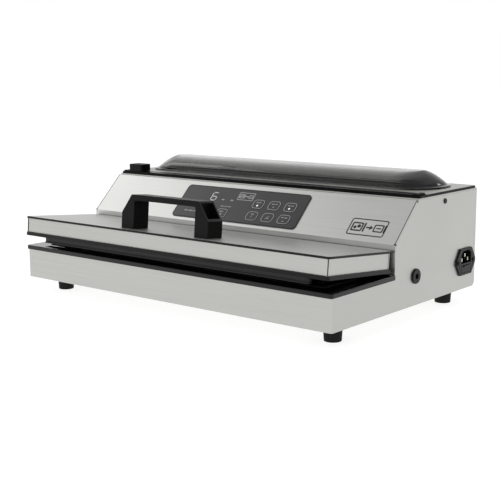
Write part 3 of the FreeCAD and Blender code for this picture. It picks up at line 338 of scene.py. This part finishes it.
# The lid top sheet and the fascia panel take the lighter copy of the steel, which paints light on these
# faces.
PAINTED_LIGHT_MATERIAL = {"lid_top_sheet": STEEL_PAINTED_LIGHTER, "fascia_panel": STEEL_PAINTED_LIGHTER}
PLAIN = {"rear_panel", "heating_wire", "release_tape", "control_board"}
PLAIN |= {"power_board", "fan_rotor", "vacuum_hoses"}


def soften(piece, width_mm, angle=32):
    """Rounds a piece's sharp edges, unless the width is 0, and evens out its shading."""
    if width_mm:
        bevel = piece.modifiers.new("edges", "BEVEL")
        bevel.width = width_mm * MM
        bevel.segments = 2
        bevel.limit_method = "ANGLE"
        bevel.angle_limit = math.radians(angle)
        bevel.use_clamp_overlap = True
    even = piece.modifiers.new("shading", "WEIGHTED_NORMAL")
    even.keep_sharp = False


def dress(node, slot):
    """Gives a CAD node its material and, through modifiers, fine rounded edges."""
    piece = nodes[node]
    material = PAINTED_LIGHT_MATERIAL.get(node, MATERIALS[slot])
    if not piece.material_slots:
        piece.data.materials.append(material)
    for place in piece.material_slots:
        place.material = material
    weld = piece.modifiers.new("weld", "WELD")
    weld.merge_threshold = 2e-6
    soften(piece, 0 if node in PLAIN else EDGE_MM.get(node, DEFAULT_EDGE_MM), 28)
    for face in piece.data.polygons:
        face.use_smooth = True


for row in frame["record"]["subparts"]:
    dress(row["node"], row["material_slot"])


# ---- pieces made here ----
def new_piece(name, points, faces, body, slot, replaced=(), material=None):
    """A smooth shaded mesh that rides on a body. It looks like its slot unless a material is given."""
    mesh = bpy.data.meshes.new(name)
    mesh.from_pydata([tuple(point) for point in points], [], faces)
    mesh.materials.append(material or MATERIALS[slot])
    shell = bmesh.new()
    shell.from_mesh(mesh)
    bmesh.ops.recalc_face_normals(shell, faces=shell.faces)
    shell.to_mesh(mesh)
    shell.free()
    for face in mesh.polygons:
        face.use_smooth = True
    made = bpy.data.objects.new(name, mesh)
    bpy.context.scene.collection.objects.link(made)
    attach(made, body)
    if replaced:
        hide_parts(*replaced)
    return made


def ring_faces(rows, count, closed=True):
    """Quads between neighbouring rows of count points. Each row is a loop, and closed joins last to first."""
    faces = []
    for row in range(rows if closed else rows - 1):
        this = row * count
        following = ((row + 1) % rows) * count
        for step in range(count):
            ahead = (step + 1) % count
            faces.append((this + step, this + ahead, following + ahead, following + step))
    return faces


def capped_rows(rows, count, start=0):
    """Quads between rows of count points, with a cap on the first and on the last row."""
    faces = ring_faces(rows, count, closed=False)
    last = (rows - 1) * count
    faces.append(tuple(range(last, last + count)))
    faces.append(tuple(reversed(range(count))))
    return [tuple(start + corner for corner in face) for face in faces]


def add_prism(points, faces, outline, x, place=case_point):
    """Adds a solid with the closed (y, z) outline, in mm, between two x values."""
    faces += capped_rows(2, len(outline), len(points))
    for end in x:
        points += [place(end, y, z) for y, z in outline]


def circle(x, y, radius, steps=20):
    angles = [2 * math.pi * step / steps for step in range(steps)]
    return [(x + radius * math.cos(angle), y + radius * math.sin(angle)) for angle in angles]


def rounded_loop(x, y, radius, arc_steps=10, run_steps=1):
    """Points of a rectangle with rounded corners, from (low, high) pairs in mm. Straights get run_steps."""
    points = []
    corners = ((x[1], y[0], -90), (x[1], y[1], 0), (x[0], y[1], 90), (x[0], y[0], 180))
    for corner_x, corner_y, start in corners:
        centre_x = corner_x - math.copysign(radius, corner_x - (x[0] + x[1]) / 2)
        centre_y = corner_y - math.copysign(radius, corner_y - (y[0] + y[1]) / 2)
        for step in range(arc_steps + 1):
            angle = math.radians(start + 90 * step / arc_steps)
            points.append((centre_x + radius * math.cos(angle), centre_y + radius * math.sin(angle)))
    filled = []
    for (ax, ay), (bx, by) in zip(points, points[1:] + points[:1]):
        pieces = run_steps if math.hypot(bx - ax, by - ay) > 2 * radius else 1
        for part in range(pieces):
            filled.append((ax + (bx - ax) * part / pieces, ay + (by - ay) * part / pieces))
    return filled


def loop_ring(name, path, profile, place, body, slot, replaced):
    """Sweeps a closed profile of (out, up) points in mm round a closed loop path of (x, y) points."""
    points = []
    count = len(path)
    for out, up in profile:
        for step in range(count):
            before = Vector(path[step - 1])
            here = Vector(path[step])
            after = Vector(path[(step + 1) % count])
            first = (here - before).normalized()
            second = (after - here).normalized()
            along = (first + second).normalized()
            normal = Vector((along.y, -along.x))
            stretch = 1 / max(0.5, normal.dot(Vector((first.y, -first.x))))
            spot = here + normal * out * stretch
            points.append(place(spot.x, spot.y, up))
    return new_piece(name, points, ring_faces(len(profile), count), body, slot, replaced)


def bar_along_x(name, outline, x, steps, place, body, slot, replaced, wave=0.0):
    """Extrudes a closed outline of (y, z) points in mm along x, with a slight wave in its height."""
    points = []
    for step in range(steps + 1):
        share = step / steps
        lift = wave * math.sin(share * 61.0) * math.sin(share * 17.0)
        for y, z in outline:
            points.append(place(x[0] + (x[1] - x[0]) * share, y, z + lift))
    return new_piece(name, points, capped_rows(steps + 1, len(outline)), body, slot, replaced)


# ---- see-through cover over the bag roll ----
COVER_X = -3.0
COVER_Y = 244.5
COVER_HALF = (222.0, 41.5)
COVER_FOOT = 121.6
COVER_HEIGHT = 18.8
COVER_CORNER = 38.0
COVER_END_LEAN = 26.0
COVER_END_POWER = 1.35
COVER_POWER = 2.5
COVER_WALL = 2.0
COVER_FLANGE = 1.8
COVER_FLANGE_X = 225.0
COVER_FLANGE_Y = (199.0, 288.6)
COVER_ROWS = 22
ARM_PAIRS = (-150.0, 150.0)
ARM_SPREAD = 11.0
ARM_HALF_WIDTH = 2.0
ARM_PIN_AXIS = (292.4, 124.4)
ARM_PIN_RADIUS = 1.5
ARM_PIN_HALF_LENGTH = 9.5
ARM_OUTLINE = [(286.0, 123.0), (290.6, 123.0), (291.6, 122.1), (292.6, 121.8), (294.0, 122.4)]
ARM_OUTLINE += [(294.9, 123.6), (294.9, 125.2), (294.0, 126.5), (292.6, 127.0), (290.8, 126.9)]
ARM_OUTLINE += [(288.0, 126.4), (286.0, 125.2)]


def cover_loop(half_x, half_y, radius, z):
    loop = rounded_loop(
        (COVER_X - half_x, COVER_X + half_x), (COVER_Y - half_y, COVER_Y + half_y), radius, 12, 24
    )
    return [case_point(x, y, z) for x, y in loop]


def dome_loops(inset):
    """Loops of the dome from its foot to its crown, inset mm inside the outer surface."""
    loops = []
    for row in range(COVER_ROWS + 1):
        angle = math.radians(87.5 * row / COVER_ROWS)
        share = math.sin(angle) ** (2 / COVER_POWER)
        narrowing = math.cos(angle) ** (2 / COVER_POWER)
        half_x = COVER_HALF[0] - inset - COVER_END_LEAN * share**COVER_END_POWER
        half_y = (COVER_HALF[1] - inset) * narrowing
        radius = min(COVER_CORNER - inset, 0.96 * half_y)
        loops.append(cover_loop(half_x, half_y, radius, COVER_FOOT + (COVER_HEIGHT - inset) * share))
    return loops


def cover_dome():
    """Clear dome with a flange round its foot, one closed skin inside and out."""
    reach = (COVER_X - COVER_FLANGE_X, COVER_X + COVER_FLANGE_X)
    rim = rounded_loop(reach, COVER_FLANGE_Y, COVER_CORNER + 3.0, 12, 24)
    inner = dome_loops(COVER_WALL)
    outer = dome_loops(0.0)
    outer[0] = cover_loop(*COVER_HALF, COVER_CORNER, COVER_FOOT + COVER_FLANGE)
    edge = [(0.35, 0.0), (0.0, 0.35), (0.0, COVER_FLANGE - 0.35), (0.35, COVER_FLANGE)]
    rims = []
    for inset, up in edge:
        middle_y = sum(COVER_FLANGE_Y) / 2
        scale_x = 1 - inset / COVER_FLANGE_X
        scale_y = 1 - inset / 44.0
        loop = [(COVER_X + (x - COVER_X) * scale_x, middle_y + (y - middle_y) * scale_y) for x, y in rim]
        rims.append([case_point(x, y, COVER_FOOT + up) for x, y in loop])
    loops = list(reversed(inner)) + rims + outer
    points = [point for loop in loops for point in loop]
    faces = capped_rows(len(loops), len(rim))
    new_piece("cover_dome", points, faces, "roll_cover", "smoked_cover", ["roll_cover"])


def cover_arms():
    """Rounded hinge arms with eyes and pins at the rear of the cover."""
    points = []
    faces = []
    for middle in ARM_PAIRS:
        for arm in (middle - ARM_SPREAD, middle + ARM_SPREAD):
            add_prism(points, faces, ARM_OUTLINE, (arm - ARM_HALF_WIDTH, arm + ARM_HALF_WIDTH))
        pin_ends = (middle - ARM_PIN_HALF_LENGTH, middle + ARM_PIN_HALF_LENGTH)
        add_prism(points, faces, circle(*ARM_PIN_AXIS, ARM_PIN_RADIUS), pin_ends)
    soften(new_piece("cover_hinge_arms", points, faces, "roll_cover", "smoked_cover"), 0.2)


# ---- lid springs, gaskets, pressing strip and tape ----
def coil(name, start_x, length, replaced):
    """A torsion spring wound round the hinge axis, with a straight leg at each end."""
    radius = 2.75
    wire = 0.62
    turns = 8.5
    steps = 28
    leg = 7.0
    other_leg = Vector((0, 0.5, -6.0))
    axis = Vector((0, *HINGE_AXIS))
    path = [Vector((start_x, 0, 0)) + axis + Vector((0, radius, -leg))]
    total = int(turns * steps)
    for step in range(total + 1):
        angle = 2 * math.pi * step / steps
        x = start_x + length * step / total
        path.append(axis + Vector((x, radius * math.cos(angle), radius * math.sin(angle))))
    path.append(path[-1] + other_leg)
    points = []
    sides = 8
    for index, here in enumerate(path):
        before = path[max(0, index - 1)]
        after = path[min(len(path) - 1, index + 1)]
        along = (after - before).normalized()
        side = along.cross(Vector((1, 0, 0.01))).normalized()
        other = along.cross(side)
        for step in range(sides):
            angle = 2 * math.pi * step / sides
            spot = here + (side * math.cos(angle) + other * math.sin(angle)) * wire
            points.append(case_point(*spot))
    new_piece(name, points, capped_rows(len(path), sides), "lid", "hinge_steel", replaced)


GASKET_LOOP = ((-211.0, 211.0), (20.0, 81.0), 5.6)
STRIP_X = (-204.0, 204.0)
STRIP_Y = 7.5


def gasket_profile(half, low, high, crown):
    """A soft rounded section of (out, up) points."""
    outline = [(half, low), (half, high - crown)]
    for step in range(1, 8):
        angle = math.pi * step / 8
        outline.append((half * math.cos(angle), high - crown + crown * math.sin(angle)))
    outline += [(-half, high - crown), (-half, low)]
    return outline


def gaskets():
    """Foam seals round the vacuum channel, one on the deck and one in the lid."""
    path = rounded_loop(*GASKET_LOOP, 8, 60)
    lower = gasket_profile(3.7, 38.05, 40.8, 1.0)
    loop_ring("lower_gasket_foam", path, lower, case_point, "case", "foam_gasket", ["lower_gasket"])
    upper = [(out, 86.7 - up) for out, up in gasket_profile(2.85, 41.2, 45.6, 1.6)]
    upper.reverse()
    loop_ring("lid_gasket_foam", path, upper, lid_point, "lid", "foam_gasket", ["lid_gasket"])


def strips():
    """The silicone strip that presses the bag, and the cloth tape over the heating wire."""
    rear = [(2.6, 36.5), (3.2, 36.9), (3.3, 37.6), (2.7, 38.4), (2.35, 39.0)]
    rear += [(2.3, 41.4), (2.6, 42.2), (3.1, 43.0), (3.1, 45.9)]
    half = [(STRIP_Y + y, z) for y, z in rear]
    other = [(STRIP_Y - y, z) for y, z in reversed(rear)]
    strip = half + other
    bar_along_x("pressing_strip", strip, STRIP_X, 60, lid_point, "lid", "silicone_strip", ["pressure_strip"])
    tape = [(3.4, 35.9), (3.4, 36.02), (5.5, 36.09), (7.5, 36.1), (9.5, 36.09), (11.6, 36.02), (11.6, 35.9)]
    replaced = ["release_tape"]
    bar_along_x("release_tape_cloth", tape, STRIP_X, 90, case_point, "case", "release_cloth", replaced, 0.02)


# ---- printed marks ----
def flat_art(name, shapes, out, material, body, slot):
    """Thin plates on the sloping panel. A shape is one loop, or an outer and an inner loop for a ring."""
    points = []
    faces = []
    place = slope_matrix(out)
    for shape in shapes:
        add_plate(points, faces, shape, place)
    new_piece(name, points, faces, body, slot, material=material)


def add_plate(points, faces, shape, place):
    """Adds one shape as a plate as thick as the ink."""
    start = len(points)
    count = len(shape[0])
    layers = [(shape[0], 0.0), (shape[0], INK_MM)]
    if len(shape) == 2:
        layers += [(shape[1], INK_MM), (shape[1], 0.0)]
        faces += [tuple(start + corner for corner in face) for face in ring_faces(4, count)]
    else:
        faces += capped_rows(2, count, start)
    for loop, up in layers:
        points += [place @ Vector((x, y, up)) for x, y in loop]


def rectangle(x, y, radius=0.0):
    if radius:
        return [rounded_loop(x, y, radius, 6)]
    return [[(x[0], y[0]), (x[1], y[0]), (x[1], y[1]), (x[0], y[1])]]


def outline_of(x, y, radius, width):
    """A closed line of the given width round a rounded rectangle."""
    inner = rounded_loop((x[0] + width, x[1] - width), (y[0] + width, y[1] - width), radius - width, 6)
    return [rounded_loop(x, y, radius, 6), inner]


def round_mark(x, y, radius):
    return [circle(x, y, radius)]


def moved(shape, x, y, size=1.0):
    """A shape scaled about its origin and shifted."""
    return [[(x + size * px, y + size * py) for px, py in loop] for loop in shape]


def stroke(first, last, width):
    """A straight line of the given width between two points."""
    along = (Vector(last) - Vector(first)).normalized()
    side = Vector((-along.y, along.x)) * width / 2
    corners = (Vector(first) + side, Vector(first) - side, Vector(last) - side, Vector(last) + side)
    return [[tuple(corner) for corner in corners]]


def pouch(x, y, size, full):
    """A generic bag mark: an outline, a sealed edge, and round contents if it is full."""
    shapes = [outline_of((-5.0, 5.0), (-4.2, 4.2), 1.4, 1.3), rectangle((5.7, 7.2), (-4.2, 4.2))]
    if full:
        shapes += [round_mark(-1.8, -0.6, 1.4), round_mark(1.5, 0.6, 1.6)]
    else:
        shapes.append(stroke((-2.4, 0), (2.4, 0), 1.3))
    return [moved(shape, x, y, size) for shape in shapes]


def arrow(x, y, size):
    shaft = stroke((-3.2, 0), (0.6, 0), 1.6)
    head = [[(0.4, -2.6), (3.6, 0), (0.4, 2.6)]]
    return [moved(shape, x, y, size) for shape in (shaft, head)]


def frame_with_pouches(x, y, size, line):
    """Generic mark of a bag being emptied of air, in a rounded frame. Used on the panel and on the slope."""
    across = (x - 24.0 * size, x + 24.0 * size)
    shapes = [outline_of(across, (y - 11.5 * size, y + 11.5 * size), 3.0 * size, line)]
    shapes += pouch(x - 13.6 * size, y, 1.45 * size, True)
    shapes += arrow(x + 2.4 * size, y, 1.3 * size)
    shapes += pouch(x + 14.2 * size, y, 1.25 * size, False)
    return shapes


def lit_digit(x, y, width, height, lit):
    """A seven-segment digit. lit holds the names of its lit segments, a to g."""
    thick = 1.5
    gap = 0.35
    middle = y + height / 2
    slots = {
        "a": ((x + thick, x + width - thick), (y + height - thick, y + height)),
        "b": ((x + width - thick, x + width), (middle + gap, y + height - thick)),
        "c": ((x + width - thick, x + width), (y + thick, middle - gap)),
        "d": ((x + thick, x + width - thick), (y, y + thick)),
        "e": ((x, x + thick), (y + thick, middle - gap)),
        "f": ((x, x + thick), (middle + gap, y + height - thick)),
        "g": ((x + thick, x + width - thick), (middle - thick / 2, middle + thick / 2)),
    }
    return [rectangle(*slots[name]) for name in lit]


def bars(x, y, lengths, height, gap):
    """A row of short bars that stands for a caption."""
    shapes = []
    for length in lengths:
        shapes.append(rectangle((x, x + length), (y, y + height)))
        x += length + gap
    return shapes


def panel_prints():
    """Captions as plain bars, the small mark, lamps, digit and rim of the control panel."""
    art = bars(-27.5, 25.6, (5.2, 4.4, 5.6), 1.6, 0.8) + bars(-80.5, 13.6, (6.0, 7.5, 4.4), 2.0, 0.9)
    flat_art("panel_captions", art, PANEL_FACE, LIGHT_INK, "case", "panel_black")
    mark = frame_with_pouches(3.6, 44.2, 0.52, 0.9)
    flat_art("panel_mark", mark, PANEL_FACE, BRIGHT_INK, "case", "panel_black")
    lamps = [rectangle((-31.6, -27.4), (35.2, 37.4), 0.9), rectangle((-17.4, -12.6), (35.2, 37.4), 0.9)]
    flat_art("panel_lamps", lamps, PANEL_FACE, LAMP_SOFT, "case", "panel_black")
    digit = lit_digit(-50.6, 33.4, 9.4, 13.4, "acdefg")
    flat_art("display_digit", digit, PANEL_FACE, DIGIT, "case", "panel_black")
    rim = outline_of((-97.1, 97.1), (4.9, 55.2), 4.6, 0.8)
    flat_art("panel_rim", [rim], PANEL_FACE, DARK_INK_AND_PAINTED_SHADE, "case", "panel_black")


def key_centre(node):
    """The middle of a key in panel coordinates, in mm."""
    low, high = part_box(node)
    middle = (low + high) / 2 - case_point(0, *SLOPE_START)
    return middle.x / MM, middle.dot(SLOPE_UP) / MM


def key_outline(node):
    """The light line round a key's edge."""
    x, y = key_centre(node)
    low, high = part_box(node)
    half_x = (high.x - low.x) / 2 / MM - 1.45
    return outline_of((x - half_x, x + half_x), (y - 6.75, y + 6.75), 4.5, 1.0)


def key_prints():
    """Light outline and a small generic sign on each key. Two keys also have a lamp dot."""
    signs = {
        "key_1": bars(-4.2, 1.6, (3.4, 3.4), 1.5, 0.7),
        "key_2": bars(-4.6, 1.4, (5.4, 2.8), 1.4, 0.7) + [rectangle((-1.0, 1.4), (-3.0, -1.6))],
        "key_3": bars(-4.4, 1.4, (2.4, 2.6, 2.4), 1.5, 0.7),
        "key_4": bars(-2.8, 1.8, (5.2,), 1.5, 0.7) + [stroke((0, -3.0), (0, 0.4), 1.0)],
        "key_5": [stroke((-2.6, -2.4), (1.6, 2.4), 1.1), stroke((2.6, -1.4), (-0.4, -1.4), 1.3)],
        "key_6": bars(-4.8, 1.6, (4.0, 4.6), 1.5, 0.7) + [stroke((-1.6, -2.8), (1.6, -2.8), 1.1)],
        "start_key": [stroke((-4.6, 2.4), (2.4, 2.4), 1.5), round_mark(-0.2, -1.8, 1.7)],
    }
    for node, sign in signs.items():
        x, y = key_centre(node)
        shapes = [key_outline(node)] + [moved(shape, x, y) for shape in sign]
        flat_art(node + "_print", shapes, KEY_FACE, LIGHT_INK, node, "key_black")
    for node in ("key_1", "key_3"):
        x, y = key_centre(node)
        flat_art(node + "_lamp", [round_mark(x - 0.6, y - 2.3, 1.35)], KEY_FACE, LAMP, node, "key_black")


def slope_prints():
    """The mark on the bare sheet of the slope, and the seams where it meets the side walls."""
    mark = frame_with_pouches(190.7, 19.0, 1.0, 1.4)
    flat_art("slope_mark", mark, SHEET_FACE, DARK_INK_AND_PAINTED_SHADE, "case", "stainless")
    seams = []
    for side in (-1, 1):
        edges = sorted((side * 233.5, side * 234.4))
        seams.append(rectangle(edges, (-0.6, 62.4)))
    flat_art("slope_seams", seams, SHEET_FACE, DARK_INK_AND_PAINTED_SHADE, "case", "stainless")


# ---- painted shade in the relief holes, and seams ----
# Painted shade: where the black discs sit inside the relief holes.
RELIEF_SHADE_AXES = ((117.6, 73.1), (161.18, 115.2))
RELIEF_SHADE_X = (232.6, 235.02)
RELIEF_SHADE_RADIUS = 1.19
LID_FRONT_SEAM = ((230.6, 231.46), (-1.95, -1.1))
LID_END_SEAM = ((231.2, 231.46), (108.6, 109.5))
LID_SEAM_Z = (48.7, 65.2)


def relief_hole_shade():
    """Black discs in the bend relief holes of the side walls: painted shade for the dark hollow of each hole.
    """
    points = []
    faces = []
    for axis in RELIEF_SHADE_AXES:
        for side in (-1, 1):
            add_prism(points, faces, circle(*axis, RELIEF_SHADE_RADIUS), [side * x for x in RELIEF_SHADE_X])
    soften(new_piece("relief_shadows", points, faces, "case", "screw_black", material=DARK_INK_AND_PAINTED_SHADE), 0.1)


def lid_corner_seams():
    """Fine dark joints where the lid's end sheets meet the front sheet and the rear edge."""
    points = []
    faces = []
    for side in (-1, 1):
        for x, y in (LID_FRONT_SEAM, LID_END_SEAM):
            outline = rectangle(y, LID_SEAM_Z)[0]
            add_prism(points, faces, outline, [side * end for end in x], lid_point)
    soften(new_piece("lid_corner_seams", points, faces, "lid", "lid_black", material=DARK_INK_AND_PAINTED_SHADE), 0.1)


cover_dome()
cover_arms()
relief_hole_shade()
lid_corner_seams()
coil("torsion_springs", -162.6, 13.2, ["lid_springs"])
coil("torsion_spring_right", 177.4, 13.2, [])
gaskets()
strips()
panel_prints()
key_prints()
slope_prints()


# ---- camera, floor and light ----
def camera():
    """Looks down at the right front corner, at the angle the object is usually shown from."""
    azimuth = math.radians(39.6488)
    elevation = math.radians(10.0513)
    roll = math.radians(-0.3283)
    level = math.cos(elevation)
    forward = Vector((-math.sin(azimuth) * level, math.cos(azimuth) * level, -math.sin(elevation)))
    made = bpy.data.objects.new("camera", bpy.data.cameras.new("camera"))
    bpy.context.scene.collection.objects.link(made)
    made.data.lens = 74.15
    made.data.sensor_width = 36.0
    made.data.clip_end = 50
    made.location = (0.8041, -0.9598, 0.2793)
    turn = forward.to_track_quat("-Z", "Y").to_matrix() @ Matrix.Rotation(roll, 3, "Z")
    made.rotation_mode = "QUATERNION"
    made.rotation_quaternion = turn.to_quaternion()
    bpy.context.scene.camera = made


def floor():
    """A pale floor that glows a little, so that it stays even out to the horizon."""
    mesh = bpy.data.meshes.new("floor")
    corners = [(-FLOOR_REACH, -FLOOR_REACH, 0), (FLOOR_REACH, -FLOOR_REACH, 0)]
    corners += [(FLOOR_REACH, FLOOR_REACH, 0), (-FLOOR_REACH, FLOOR_REACH, 0)]
    mesh.from_pydata(corners, [], [(0, 1, 2, 3)])
    made = bpy.data.objects.new("floor", mesh)
    bpy.context.scene.collection.objects.link(made)
    paint = Nodes("floor_pale").set(Roughness=0.9, Specular_IOR_Level=0.0)
    paint.shader.inputs["Base Color"].default_value = (0.42, 0.42, 0.42, 1)
    paint.shader.inputs["Emission Color"].default_value = (1, 1, 1, 1)
    paint.shader.inputs["Emission Strength"].default_value = FLOOR_GLOW
    mesh.materials.append(paint.material)


def area_light(name, place, aim, size, power):
    data = bpy.data.lights.new(name, "AREA")
    data.shape = "RECTANGLE"
    data.size, data.size_y = size
    data.energy = power
    made = bpy.data.objects.new(name, data)
    made.location = place
    made.rotation_euler = (Vector(aim) - Vector(place)).to_track_quat("-Z", "Y").to_euler()
    bpy.context.scene.collection.objects.link(made)


def surroundings():
    """An even white room, darker high up and to the rear right, so that metal shows soft changes of tone."""
    world = bpy.data.worlds.new("studio")
    bpy.context.scene.world = world
    world.use_nodes = True
    tree = world.node_tree
    background = tree.nodes["Background"]
    coords = tree.nodes.new("ShaderNodeTexCoord")
    split = tree.nodes.new("ShaderNodeSeparateXYZ")
    tree.links.new(coords.outputs["Generated"], split.inputs[0])
    height = world_ramp(tree, split.outputs["Z"], (0.15, 1.0), (0.6, ROOM_TOP))
    toward = tree.nodes.new("ShaderNodeVectorMath")
    toward.operation = "DOT_PRODUCT"
    toward.inputs[1].default_value = (0.72, 0.69, 0.0)
    tree.links.new(coords.outputs["Generated"], toward.inputs[0])
    above = world_ramp(tree, split.outputs["Z"], (0.06, 0.0), (0.15, 1.0))
    shaded = product(tree, toward.outputs["Value"], above)
    side = world_ramp(tree, shaded, (0.35, 1.0), (0.95, ROOM_SIDE))
    tree.links.new(product(tree, height, side), background.inputs["Strength"])
    background.inputs["Color"].default_value = (1, 1, 1, 1)


def product(tree, first, second):
    """Two brightness values multiplied."""
    both = tree.nodes.new("ShaderNodeMath")
    both.operation = "MULTIPLY"
    tree.links.new(first, both.inputs[0])
    tree.links.new(second, both.inputs[1])
    return both.outputs[0]


def world_ramp(tree, value, start, end):
    """A number that runs smoothly from start to end, both (value, result)."""
    ramp = tree.nodes.new("ShaderNodeMapRange")
    ramp.interpolation_type = "SMOOTHSTEP"
    for key, number in zip(RANGE_SOCKETS, (*start, *end)):
        ramp.inputs[key].default_value = number
    tree.links.new(value, ramp.inputs["Value"])
    return ramp.outputs["Result"]


camera()
floor()
surroundings()
area_light("key", (-1.45, -0.25, 1.2), (0, 0, 0.08), (0.8, 0.8), 3)
area_light("rear_rim", (0.6, 1.7, 1.0), (0.2, 0.1, 0.1), (0.5, 0.5), 3)
bpy.context.scene.view_settings.view_transform = "Standard"
